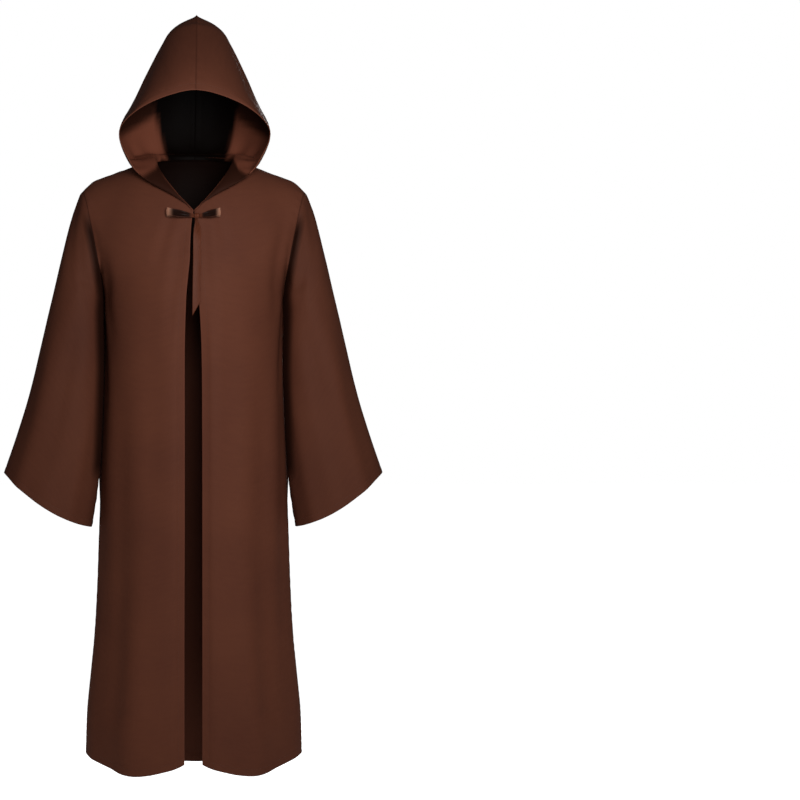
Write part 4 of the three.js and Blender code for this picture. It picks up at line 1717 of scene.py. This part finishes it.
@dataclass
class Hood:
    """The pointed hood in two halves, joined from the front edge over the tip to the nape."""

    robe: Robe
    dark: HoodDark = HoodDark()
    neck_shade: float = 0.7
    seam_strength: float = 0.4
    other_strength: float = 0.85
    step_around: float = 6.0
    step_up: float = 6.5
    crowd: float = 0.7
    flat: tuple[float, float] = (0.33, 0.43)
    creases: tuple[Crease, ...] = (
        Crease(((0.5, 0.02), (0.5, 0.13), (0.46, 0.26)), 2.4, 12),
        Crease(((0.68, 0.03), (0.66, 0.14), (0.6, 0.3)), 1.5, 14),
        Crease(((0.3, 0.03), (0.34, 0.14), (0.36, 0.3)), 2.4, 13),
        Crease(((0.12, 0.04), (0.17, 0.14), (0.22, 0.27)), 2.0, 12),
        Crease(((0.84, 0.05), (0.8, 0.2), (0.7, 0.36)), 1.1, 14),
        Crease(((0.12, 0.75), (0.3, 0.62), (0.45, 0.5)), 1.8, 20),
        Crease(((0.5, 0.8), (0.64, 0.68), (0.76, 0.58)), 1.5, 18),
        Crease(((0.2, 0.48), (0.36, 0.4), (0.55, 0.38)), -1.8, 20),
    )

    def row(self, section: dict[str, float]) -> np.ndarray:
        """One row from the back seam over the widest point to the front edge.

        Args:
            section: The row's sizes by name.

        Returns:
            The row's points.
        """
        side = np.array([section["side_x"], section["side_y"], section["side_z"]])
        points = []
        roundness = min(1, section["side_x"] / HOOD_ROUND_WIDTH)
        for j in range(NECK_BACK_STEPS):
            angle = QUARTER * j / NECK_BACK_STEPS
            to_back = mix(1 - j / NECK_BACK_STEPS, math.cos(angle), roundness)
            points.append(
                [
                    side[0] * math.sin(angle),
                    mix(side[1], section["back_y"], to_back),
                    mix(side[2], section["back_z"], to_back),
                ]
            )
        dip = section["dip"]
        for j in range(NECK_FRONT_STEPS + 1):
            angle = QUARTER * j / NECK_FRONT_STEPS
            fall = (1 - dip) * math.sin(angle) + dip * (1 - math.cos(angle))
            points.append(
                [
                    mix(section["edge_x"], side[0], math.cos(angle)),
                    mix(side[1], section["edge_y"], math.sin(angle)),
                    mix(side[2], section["edge_z"], fall),
                ]
            )
        return np.array(points)

    def stand_clear(self, point: np.ndarray, panels: Sequence[tuple[np.ndarray, np.ndarray]]) -> np.ndarray:
        """Moves a point out until it stands clear of the panels that it hangs over.

        Args:
            point: A point of the hood.
            panels: Points and outward directions of each panel.

        Returns:
            The point, moved or not.
        """
        for spots, normals in panels:
            gaps = np.linalg.norm(spots - point, axis=2)
            nearest = np.unravel_index(gaps.argmin(), gaps.shape)
            proud = float((point - spots[nearest]) @ normals[nearest])
            if gaps[nearest] < HOOD_NEAR and abs(proud) < HOOD_SUNK and proud < HOOD_CLEAR:
                point = point + normals[nearest] * (HOOD_CLEAR - proud)
        return point

    def grid(self, sign: int, panels: Sequence[tuple[np.ndarray, np.ndarray]]) -> np.ndarray:
        """Coarse grid of the hood half on one side, leaning a little as the real one does.

        Args:
            sign: 1 for the wearer's left, -1 for the right.
            panels: Points and outward directions of the panels below.

        Returns:
            Grid of shape (rows, columns, 3).
        """
        last = len(HOOD_SECTIONS) - 1
        names = [f.name for f in fields(HoodSection) if f.name != "at"]
        table = [
            HoodSection(*(getattr(row, name) for name in names), at=k / last)
            for k, row in enumerate(HOOD_SECTIONS)
        ]
        rows = [self.row(row_at(table, "at", i / HOOD_ROWS)) for i in range(HOOD_ROWS + 1)]
        grid = np.array(rows)
        lean = HOOD_LEAN * smooth(grid[..., 2], HOOD_LEAN_FROM, HOOD_LEAN_TO)
        grid[..., 0] = sign * (np.maximum(grid[..., 0], 0) + SEWING.seam_gap / 2) + lean
        grid[..., 2] += SEWING.seam_gap
        for i in range(1, HOOD_CLEAR_ROWS):
            grid[i] = [self.stand_clear(point, panels) for point in grid[i]]
        return grid

    def fine(self, name: str, grid: np.ndarray, facing: int) -> Cloth:
        """Fine grid of a hood half.

        Args:
            name: Node that the piece stands for.
            grid: Coarse grid.
            facing: 1 or -1, whichever makes the normals point outwards.

        Returns:
            The hood half as cloth.
        """
        rows, up = refined(grid, self.step_up, self.crowd)
        columns, around = refined(turned(rows), self.step_around, self.crowd, turned(grid))
        points, up = self.tucked_in(turned(columns), up)
        hems, seams = (Edge.LAST_COLUMN,), (Edge.FIRST_ROW, Edge.LAST_ROW, Edge.FIRST_COLUMN)
        cloth = Cloth(name, points, around, up, facing, hems, seams, tucked=SEWING.tuck)
        above = up - SEWING.tuck
        cloth.tip = points[-1, 0]
        # Painted shade inside the hood, with a painted shadow below the rim
        cloth.inner_shade = partial(self.hollow, up=above)
        cloth.seam_strength = self.seam_strength
        # Painted shade on the outer side just above the neckline, where the hood hangs over the yoke at the
        # back
        low = self.neck_shade * (1 - smooth(above[:, None], *BANDS.nape_up))
        cloth.outer_shade = low * smooth(points[..., 1], *BANDS.nape_y)
        return cloth

    def tucked_in(self, points: np.ndarray, up: np.ndarray) -> tuple[np.ndarray, np.ndarray]:
        """Adds the seam allowance that hangs down inside the neckline below the hood's first row.

        Args:
            points: Points of the hood half, row by row from the neckline.
            up: Distance of each row from the neckline.

        Returns:
            The points and distances with the allowance's rows before them.
        """
        middle = np.array([0, (NAPE.y + NECK_FRONT.y) / 2, 0])
        inwards = (middle - points[0]) * np.array([1, 1, 0])
        inwards /= np.linalg.norm(inwards, axis=1, keepdims=True)
        strips, heights = [], []
        for share in SEWING.tuck_shares:
            height = -SEWING.tuck * share
            deep = SEWING.tuck_in * min(1, share / SEWING.tuck_full)
            strips.append(points[0] + np.array([0, 0, height]) + inwards * deep)
            heights.append(height)
        return np.concatenate([strips, points]), np.concatenate([heights, up]) + SEWING.tuck

    def hollow(self, points: np.ndarray, up: np.ndarray) -> np.ndarray:
        """How much painted shade each point of the hood's inner side takes, from 0 to 1, for the dark deep
        in the hood.

        Args:
            points: Points of the hood half, row by row from the neckline.
            up: Distance of each row from the neckline, up the cloth.

        Returns:
            The painted shade for each point, less on the seam allowance at the front of the neck, which
            catches some light.
        """
        dark = self.dark
        x, y, z = (points[..., k] for k in range(3))
        aside = np.abs(x - HOOD_LEAN)
        risen = np.clip((z - dark.half_from_z) / dark.half_rise, 0, dark.half_most)
        past_side = aside - mix(dark.half_low, dark.half_high, risen)
        behind = 1 - smooth(past_side, *dark.side)
        behind *= 1 - (1 - smooth(z, *dark.chin_z)) * (1 - smooth(y, *dark.chin_y))
        above = z - np.interp(aside, dark.bottom_x, dark.bottom_z)
        low = dark.bottom_share * (1 - smooth(above, *dark.bottom))
        at_seam = bell(up[:, None] - dark.seam_up, dark.seam_width) * (1 - smooth(y, *dark.seam_y))
        overhung = dark.top_share * smooth(z + dark.top_slope * np.abs(x), *dark.top)
        return np.maximum.reduce([behind, low, overhung]) * (1 - dark.seam_share * at_seam)

    def build(self) -> list[Cloth]:
        """Cuts, creases and sews both halves.

        Returns:
            The left and right half as cloth.
        """
        left = self.robe.front_grid("slit_left", 0)
        right = self.robe.front_grid("slit_right", 0) * MIRRORED
        back = self.robe.back_grid(0)
        behind = (back, grid_normals(back, False, -1))
        cloths = []
        for name, sign, panel, strength in (
            ("hood_left", 1, left, 1),
            ("hood_right", -1, right, self.other_strength),
        ):
            front = (panel, grid_normals(panel, False, sign))
            cloth = self.fine(name, self.grid(sign, [front, behind]), -sign)
            cloth.crease(varied(self.creases, shift=0, stretch=1, strength=strength))
            cloth.sew()
            cloths.append(cloth)
        return cloths


@dataclass(frozen=True)
class Tail:
    """One hanging end of the bow, and how it hangs, in millimetres and radians.

    It hangs at x down to its tip, proud of the chest. Its slanted cut rises to the other corner.
    """

    node: str
    x: float
    tip: float
    proud: float
    twist: float
    cut: float


@dataclass(frozen=True)
class TailDrape:
    """What both hanging ends share, in millimetres and as shares of their length."""

    inside: float = 0.4
    open_until: float = 0.16
    turned_until: float = 0.3
    narrow: float = 0.3
    sway: float = 0.8
    sway_rate: float = 5
    lift: float = 2
    ripple: float = 0.5
    ripple_rate: float = 9
    curl: float = 0.7
    pleat: float = 0.5
    pleat_rate: float = 6


@dataclass(frozen=True)
class LoopDrape:
    """What both loops share, in millimetres and as shares of their reach."""

    bite: float = 0.2
    # Where a loop's painted shade lies and thins at its edges, and where its painted highlight lies
    flat_in: tuple[float, float] = (0.05, 0.2)
    flat_out: tuple[float, float] = (0.9, 0.985)
    edge: tuple[float, float] = (0.8, 0.95)
    edge_shade: float = 0.5
    glint: tuple[float, float] = (0.74, 0.99)
    gather: float = 0.7
    gather_until: float = 0.75
    pleat_rate: float = 7.5
    pleat_shift: float = 0.6
    tilt: float = 0.42
    tilt_in: tuple[float, float] = (0.05, 0.4)
    tilt_out: tuple[float, float] = (0.8, 1)
    wave: float = 0.7
    wave_rate: float = 5
    wave_across: float = 1.7
    wave_in: tuple[float, float] = (0.2, 0.7)


@dataclass(frozen=True)
class KnotWrap:
    """The knot's grid, and how its cloth is folded and overlaps, as shares of its size."""

    around: int = 48
    along: int = 33
    end: float = 0.999
    blunt: float = 2.6
    fold: float = 0.07
    fold_rate: float = 9
    fold_slant: float = 0.5
    overlap: float = 0.06
    overlap_at: float = 0.3
    overlap_slant: float = 0.4
    overlap_width: float = 0.25


@dataclass
class Bow:
    """The satin ribbon at the neck: two loops, the knot and two hanging ends."""

    material: bpy.types.Material
    drape: LoopDrape = LoopDrape()
    hang: TailDrape = TailDrape()
    wrapped: KnotWrap = KnotWrap()
    left_tail: Tail = Tail("ribbon_tail_left", 6.5, -327, 3.6, 0.9, 30)
    right_tail: Tail = Tail("ribbon_tail_right", 7.5, -299, 1.7, 0, 26)
    width: float = 17.0
    wall: float = 0.7
    selvedge: float = 0.9
    selvedge_out: float = 0.2
    selvedge_in: float = 0.1
    knot: Point = Point(6, -132.6, -116)
    knot_across: float = 6.2
    knot_deep: float = 5.0
    knot_high: float = 6.4
    reach_left: float = 44.0
    reach_right: float = 57.0
    rise: float = 9.0
    forward: float = 1.8
    deep: float = 5.0
    across: float = 16.0
    blunt: float = 2.2
    wrap: float = 1.15
    sag: float = 2.2
    pinch_width: float = 0.5
    pinch_depth: float = 0.65
    pinch_until: float = 0.6
    # Strength of the painted shade on a loop's flat and of the painted highlight at its end
    fold_shade: float = 0.95
    glint: float = 0.6
    rows: int = 84
    lines: int = 16

    def chest_y(self, z: float) -> float:
        """The chest's outer side beside the front edges at a height.

        Args:
            z: The height.

        Returns:
            Its place along y.
        """
        if z <= YOKE_Z:
            return -row_at(BODY_SECTIONS, "z", z)["front"]
        over = math.radians(TURNED_NECK_FRONT)
        rise = min(1, (z - YOKE_Z) / (NECK_FRONT.z - YOKE_Z)) ** (1 / YOKE_POWER)
        angle = math.asin(rise * math.sin(over))
        start = -row_at(BODY_SECTIONS, "z", YOKE_Z)["front"]
        inwards = (1 - math.cos(angle) ** YOKE_POWER) / (1 - math.cos(over) ** YOKE_POWER)
        return mix(start, NECK_FRONT.y, inwards)

    def shell(
        self,
        name: str,
        grid: np.ndarray,
        facing: int,
        shade: np.ndarray | float = 0.0,
        glint: np.ndarray | float = 0.0,
    ) -> bpy.types.Object:
        """Gives a ribbon its thickness, with firmer woven edges, and makes it a mesh.

        Args:
            name: Node that it stands for.
            grid: Its outer side.
            facing: 1 or -1, whichever makes the normals point outwards.
            shade: How much painted shade the ribbon takes in its own folds, for each point or for all.
            glint: How much painted highlight its satin takes where it would catch the light.

        Returns:
            The ribbon as a mesh.
        """
        across, along = lengths(turned(grid)).T, lengths(grid)
        firm = bell(np.minimum(across, across[:, -1:] - across), self.selvedge)[..., None]
        normals = grid_normals(grid, False, facing)
        outer = grid + normals * self.selvedge_out * firm
        inner = grid - normals * (self.wall + self.selvedge_in * firm)
        values = {"fold_shade": (shade, shade), "glint": (glint, glint)}
        return Shell(name, outer, inner, False, facing).build(self.material, (across, along), values)

    def loop(self, name: str, sign: int) -> bpy.types.Object:
        """One loop: out from the knot behind, round its end, and back in front.

        Args:
            name: Node that it stands for.
            sign: 1 for the wearer's left, -1 for the right.

        Returns:
            The loop as a mesh.
        """
        drape = self.drape
        start = self.knot.x + sign * (self.knot_across - drape.bite)
        reach = self.reach_left if sign > 0 else self.reach_right
        lines = np.linspace(-1, 1, self.lines)
        between = 1 - drape.edge_shade * smooth(np.abs(lines), *drape.edge)
        grid, shade, glint = [], [], []
        for turn in np.linspace(-1, 1, self.rows):
            out = 1 - abs(turn) ** self.blunt
            flat = smooth(out, *drape.flat_in) * (1 - smooth(out, *drape.flat_out))
            # Painted shade on the loop's flat, thinner at its edges, and a painted highlight at its round
            # end
            shade.append(self.fold_shade * flat * between)
            glint.append(np.full(self.lines, self.glint * smooth(out, *drape.glint)))
            layer = self.deep * math.sin(-turn * math.pi / self.wrap)
            layer *= mix(self.pinch_depth, 1, math.sqrt(out))
            half = self.across / 2 * mix(self.pinch_width, 1, smooth(out, 0, self.pinch_until))
            behind = self.sag * out if turn < 0 else 0
            gathered = drape.gather * (1 - smooth(out, 0, drape.gather_until))
            pleats = gathered * np.cos(lines * drape.pleat_rate + drape.pleat_shift * sign)
            tilt = drape.tilt * (1 - smooth(out, *drape.tilt_out)) * smooth(out, *drape.tilt_in)
            wave = drape.wave * math.sin(out * drape.wave_rate + turn) * smooth(out, *drape.wave_in)
            relief = (pleats + wave * np.cos(lines * drape.wave_across)) * np.sign(-turn or 1)
            x = np.full(self.lines, start + sign * reach * out)
            y = self.knot.y - self.forward + layer + tilt * lines * half + relief
            z = self.knot.z + self.rise * out - behind + lines * half
            grid.append(np.stack([x, y, z], axis=1))
        return self.shell(name, np.array(grid), sign, np.array(shade), np.array(glint))

    def tail(self, one: Tail) -> bpy.types.Object:
        """One hanging end: it leaves the knot narrow and turned, then hangs flat to a slanted cut.

        Args:
            one: Which end, and how it hangs.

        Returns:
            The ribbon's end as a mesh.
        """
        hang = self.hang
        top = self.knot.z - self.knot_high + hang.inside
        lines = np.linspace(-1, 1, self.lines)
        share = (lines + 1) / 2
        grid = []
        for t in np.linspace(0, 1, self.rows):
            open_out = smooth(t, 0, hang.open_until)
            angle = one.twist * (1 - smooth(t, 0, hang.turned_until))
            half = self.width / 2 * mix(hang.narrow, 1, open_out)
            centre = mix(self.knot.x, one.x, open_out) + hang.sway * math.sin(hang.sway_rate * t) * open_out
            z = mix(top, one.tip + one.cut * share, t)
            chest = np.array([self.chest_y(float(height)) for height in z])
            lift = one.proud + (1 - open_out) * hang.lift
            lift += hang.ripple * math.sin(hang.ripple_rate * t + one.x) * open_out
            curl = hang.curl * lines**2 * open_out
            pleats = hang.pleat * (1 - open_out) * np.cos(lines * hang.pleat_rate)
            y = chest - lift - curl - pleats - math.sin(angle) * half * share
            grid.append(np.stack([centre + lines * half * math.cos(angle), y, z], axis=1))
        return self.shell(one.node, np.array(grid), -1)

    def tie(self) -> bpy.types.Object:
        """The knot: ribbon wrapped tightly round the loops, with folds that run with the wrap.

        Returns:
            The knot as a mesh.
        """
        wrap = self.wrapped
        sizes = np.array([self.knot_across, self.knot_deep, self.knot_high])
        angle = np.linspace(0, 2 * math.pi, wrap.around, endpoint=False)
        grid = []
        for place in np.linspace(-1, 1, wrap.along):
            s = float(np.clip(place, -wrap.end, wrap.end))
            inside = 1 - s * s
            folds = 1 + wrap.fold * np.cos(wrap.fold_rate * s + wrap.fold_slant * np.sin(angle)) * inside
            over = bell(np.cos(angle) - wrap.overlap_at - wrap.overlap_slant * s, wrap.overlap_width)
            radius = (1 - abs(s) ** wrap.blunt) ** 0.5 * folds + wrap.overlap * over * inside
            ring = [np.full(wrap.around, s), np.cos(angle) * radius, np.sin(angle) * radius]
            grid.append(np.stack(ring, axis=1) * sizes + self.knot.array())
        number = np.arange(wrap.around * wrap.along).reshape(wrap.along, wrap.around)
        following = np.roll(number, -1, axis=1)
        corners = (number[:-1], number[1:], following[1:], following[:-1])
        quads = np.stack([c.ravel() for c in corners], axis=1).tolist()
        ends = [list(number[0]), list(number[-1][::-1])]
        mesh = bpy.data.meshes.new("bow_knot")
        mesh.from_pydata((np.array(grid).reshape(-1, 3) * MM).tolist(), [], quads + ends)
        uv = mesh.uv_layers.new(name="cut")
        places = np.array([mesh.vertices[corner.vertex_index].co for corner in mesh.loops])
        around = np.arctan2(places[:, 2] - self.knot.z * MM, places[:, 1] - self.knot.y * MM)
        flat = np.stack([places[:, 0], around * self.knot_high * MM], axis=1)
        uv.data.foreach_set("uv", flat.astype(np.float32).ravel())
        return put_in_scene("bow_knot", mesh, self.material)

    def build(self) -> None:
        """Makes the whole bow and lets each length of ribbon stand for its node."""
        sides = (("bow_loop_left", 1), ("bow_loop_right", -1))
        loops = {node: self.loop(node, sign) for node, sign in sides}
        tails = {one.node: self.tail(one) for one in (self.left_tail, self.right_tail)}
        knot = self.tie()
        for node, piece in {**loops, **tails, "bow_knot": knot}.items():
            finish_piece(piece, node, Slot.RIBBON)


def finish_piece(piece: bpy.types.Object, node: str, slot: Slot) -> None:
    """Lets a piece stand for its node, ride on the garment and carry its slot in its name.

    Args:
        piece: The piece.
        node: Node that it stands for.
        slot: Its material slot.
    """
    piece.name = f"{node}_{'cloth' if slot is Slot.CLOTH else 'satin'}"
    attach(piece, "root")
    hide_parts(node)
    area = sum(face.area for face in piece.data.polygons) / 2
    LOG.info("%s: %d faces, %.3f square metres", piece.name, len(piece.data.polygons), area)


@dataclass
class Stitches:
    """Rows of lockstitches along the hems, laid by a node tree along each hem's line."""

    material: bpy.types.Material
    length: float = 3.6
    pitch: float = 5.2
    thick: float = 0.42
    flattened: float = 0.8
    tilt: float = 0.08
    seed: int = 7

    def tree(self) -> bpy.types.NodeTree:
        """Node tree that turns a line with outward directions into a row of stitches.

        Returns:
            The tree.
        """
        tree = bpy.data.node_groups.new("stitch_row", "GeometryNodeTree")
        tree.interface.new_socket("Line", in_out="INPUT", socket_type="NodeSocketGeometry")
        for name, size in (("Pitch", self.pitch), ("Length", self.length), ("Thickness", self.thick)):
            socket = tree.interface.new_socket(name, in_out="INPUT", socket_type="NodeSocketFloat")
            socket.default_value = size * MM
        tree.interface.new_socket("Thread", in_out="INPUT", socket_type="NodeSocketMaterial")
        tree.interface.new_socket("Stitches", in_out="OUTPUT", socket_type="NodeSocketGeometry")
        inputs = add_node(tree, "NodeGroupInput").outputs
        curve = add_node(tree, "GeometryNodeMeshToCurve", links={"Mesh": inputs["Line"]})
        outward = {"data_type": "FLOAT_VECTOR", "Name": "outward"}
        facing = add_node(tree, "GeometryNodeInputNamedAttribute", outward).outputs["Attribute"]
        spaced = {"Curve": curve.outputs["Curve"], "Length": inputs["Pitch"]}
        dots = add_node(tree, "GeometryNodeCurveToPoints", {"mode": "LENGTH"}, spaced).outputs
        align = "FunctionNodeAlignRotationToVector"
        along = add_node(tree, align, {"axis": "Z"}, {"Vector": dots["Tangent"]}).outputs["Rotation"]
        upright = add_node(
            tree, align, {"axis": "X", "pivot_axis": "Z"}, {"Rotation": along, "Vector": facing}
        )
        random = {"data_type": "FLOAT", 2: -self.tilt, 3: self.tilt, "Seed": self.seed}
        tilt = add_node(tree, "FunctionNodeRandomValue", random).outputs[1]
        spin = add_node(tree, "ShaderNodeCombineXYZ", links={"X": tilt}).outputs["Vector"]
        turns = {"Rotation": upright.outputs["Rotation"], "Rotate By": spin}
        tilted = add_node(tree, "FunctionNodeRotateRotation", {"rotation_space": "LOCAL"}, turns)
        halve = {"operation": "MULTIPLY", 1: 0.5}
        half = add_node(tree, "ShaderNodeMath", halve, {0: inputs["Thickness"]}).outputs[0]
        ball = {"Segments": 6, "Rings": 4}
        thread = add_node(tree, "GeometryNodeMeshUVSphere", ball, {"Radius": half}).outputs["Mesh"]
        sizes = {0: inputs["Length"], 1: inputs["Thickness"]}
        ratio = add_node(tree, "ShaderNodeMath", {"operation": "DIVIDE"}, sizes).outputs[0]
        flat = {"X": self.flattened, "Y": 1.0}
        stretch = add_node(tree, "ShaderNodeCombineXYZ", flat, {"Z": ratio}).outputs["Vector"]
        drawn = {"Geometry": thread, "Scale": stretch}
        stitch = add_node(tree, "GeometryNodeTransform", links=drawn).outputs["Geometry"]
        laid = {"Points": dots["Points"], "Instance": stitch, "Rotation": tilted.outputs["Rotation"]}
        row = add_node(tree, "GeometryNodeInstanceOnPoints", links=laid).outputs["Instances"]
        real = add_node(tree, "GeometryNodeRealizeInstances", links={"Geometry": row})
        dye = {"Geometry": real.outputs["Geometry"], "Material": inputs["Thread"]}
        dyed = add_node(tree, "GeometryNodeSetMaterial", links=dye).outputs["Geometry"]
        add_node(tree, "NodeGroupOutput", links={"Stitches": dyed})
        return tree

    def line(self, name: str, runs: Sequence[tuple[np.ndarray, np.ndarray]]) -> bpy.types.Object:
        """Object with the hem lines as edges and the outward direction at each point.

        Args:
            name: Name of the object.
            runs: The lines' points and outward directions.

        Returns:
            The object.
        """
        points = np.concatenate([run for run, _ in runs]) * MM
        outward = np.concatenate([facing for _, facing in runs])
        edges, start = [], 0
        for run, _ in runs:
            edges += [(start + k, start + k + 1) for k in range(len(run) - 1)]
            start += len(run)
        mesh = bpy.data.meshes.new(name)
        mesh.from_pydata(points.tolist(), edges, [])
        attribute = mesh.attributes.new("outward", "FLOAT_VECTOR", "POINT")
        attribute.data.foreach_set("vector", outward.astype(np.float32).ravel())
        return put_in_scene(name, mesh)

    def sew(self, name: str, runs: Sequence[tuple[np.ndarray, np.ndarray]]) -> None:
        """Sews rows of stitches along hem lines, as one plain mesh.

        Args:
            name: Name of the piece.
            runs: The lines' points and outward directions.
        """
        guide = self.line(f"{name}_line", runs)
        modifier = guide.modifiers.new("stitches", "NODES")
        modifier.node_group = self.tree()
        for item in modifier.node_group.interface.items_tree:
            if item.in_out == "INPUT" and item.name == "Thread":
                modifier[item.identifier] = self.material
            elif item.in_out == "INPUT" and item.name != "Line":
                modifier[item.identifier] = item.default_value
        graph = bpy.context.evaluated_depsgraph_get()
        mesh = bpy.data.meshes.new_from_object(guide.evaluated_get(graph), depsgraph=graph)
        guide.modifiers.clear()
        bpy.data.objects.remove(guide)
        mesh.name = name
        mesh.materials.clear()
        piece = put_in_scene(name, mesh, self.material)
        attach(piece, "root")
        LOG.info("%s: %d faces", name, len(mesh.polygons))


@dataclass(frozen=True)
class Lamp:
    """Square soft light: its place and size in metres, and its power in watts."""

    name: str
    place: tuple[float, float, float]
    size: float
    power: float


@dataclass
class Studio:
    """Plain pale floor, soft light and the camera, in metres."""

    key: Lamp = Lamp("key", (0.3, -1.55, 0.08), 0.7, 18)
    behind: Lamp = Lamp("behind", (0.3, 2.6, 0.08), 1.0, 34)
    middle: tuple[float, float, float] = (0, 0, -0.4)
    floor_z: float = -1.42
    floor_size: float = 60.0
    distance: float = 7.5
    height: float = -0.50525
    aside: float = 0.444
    sensor_mm: float = 36.0
    picture_pixels: float = 800.0
    pixel_mm: float = 2.15
    background: float = 1.0
    surround: float = 0.09
    white: tuple[float, float, float, float] = (1, 1, 1, 1)

    def floor(self) -> None:
        """Lays the floor below the hem."""
        half = self.floor_size / 2
        mesh = bpy.data.meshes.new("floor")
        corners = [(-half, -half), (half, -half), (half, half), (-half, half)]
        mesh.from_pydata([(x, y, self.floor_z) for x, y in corners], [], [(0, 1, 2, 3)])
        put_in_scene("floor", mesh, StudioPaint().build())

    def surroundings(self) -> None:
        """White surroundings that the camera sees in full and the cloak only softly."""
        world = bpy.data.worlds.new("studio")
        world.use_nodes = True
        tree = world.node_tree
        ground = tree.nodes["Background"]
        ground.inputs["Color"].default_value = self.white
        ground.inputs["Strength"].default_value = self.background
        pale = {"Color": self.white, "Strength": self.surround}
        soft = add_node(tree, "ShaderNodeBackground", pale)
        seen = add_node(tree, "ShaderNodeLightPath").outputs["Is Camera Ray"]
        links = {0: seen, 1: soft.outputs["Background"], 2: ground.outputs["Background"]}
        both = add_node(tree, "ShaderNodeMixShader", links=links)
        tree.links.new(both.outputs[0], tree.nodes["World Output"].inputs["Surface"])
        bpy.context.scene.world = world
        bpy.context.scene.view_settings.view_transform = "Standard"

    def hang(self, lamp: Lamp) -> None:
        """Hangs a lamp that points at the middle of the garment.

        Args:
            lamp: The lamp.
        """
        light = bpy.data.lights.new(lamp.name, "AREA")
        light.size = lamp.size
        light.energy = lamp.power
        hung = bpy.data.objects.new(lamp.name, light)
        hung.location = lamp.place
        ahead = Vector(self.middle) - Vector(lamp.place)
        hung.rotation_euler = ahead.to_track_quat("-Z", "Y").to_euler()
        bpy.context.scene.collection.objects.link(hung)

    def camera(self) -> None:
        """Sets the camera straight in front, turned aside as the photograph is framed."""
        turn = math.atan(self.aside / self.distance)
        picture = self.picture_pixels * self.pixel_mm * MM
        data = bpy.data.cameras.new("camera")
        data.sensor_width = self.sensor_mm
        data.lens = self.sensor_mm * self.distance / picture * math.cos(turn)
        camera = bpy.data.objects.new("camera", data)
        camera.location = (0, -self.distance, self.height)
        camera.rotation_euler = (QUARTER, 0, -turn)
        bpy.context.scene.collection.objects.link(camera)
        bpy.context.scene.camera = camera

    def build(self) -> None:
        """Sets up the whole studio."""
        self.camera()
        self.floor()
        self.surroundings()
        self.hang(self.key)
        self.hang(self.behind)


def main() -> None:
    """Builds the cloak on its frame and reports each piece."""
    logging.basicConfig(level=logging.INFO, format="%(message)s")
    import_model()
    Studio().build()
    polyester = WovenPolyester().build()
    thread = SewingThread().build()
    robe = Robe()
    sleeves = Sleeves(robe)
    hood = Hood(robe)
    cloths = [*robe.build(), *sleeves.build(), *hood.build()]
    for cloth in cloths:
        piece = cloth.build(polyester)
        finish_piece(piece, cloth.name, Slot.CLOTH)
    Bow(SatinRibbon().build()).build()
    stitches = Stitches(thread)
    for cloth in cloths:
        runs = [cloth.stitch_path(edge, SEWING.hem_line) for edge in cloth.hems]
        stitches.sew(f"{cloth.name}_hem_stitches", runs)


if __name__ == "__main__":
    main()
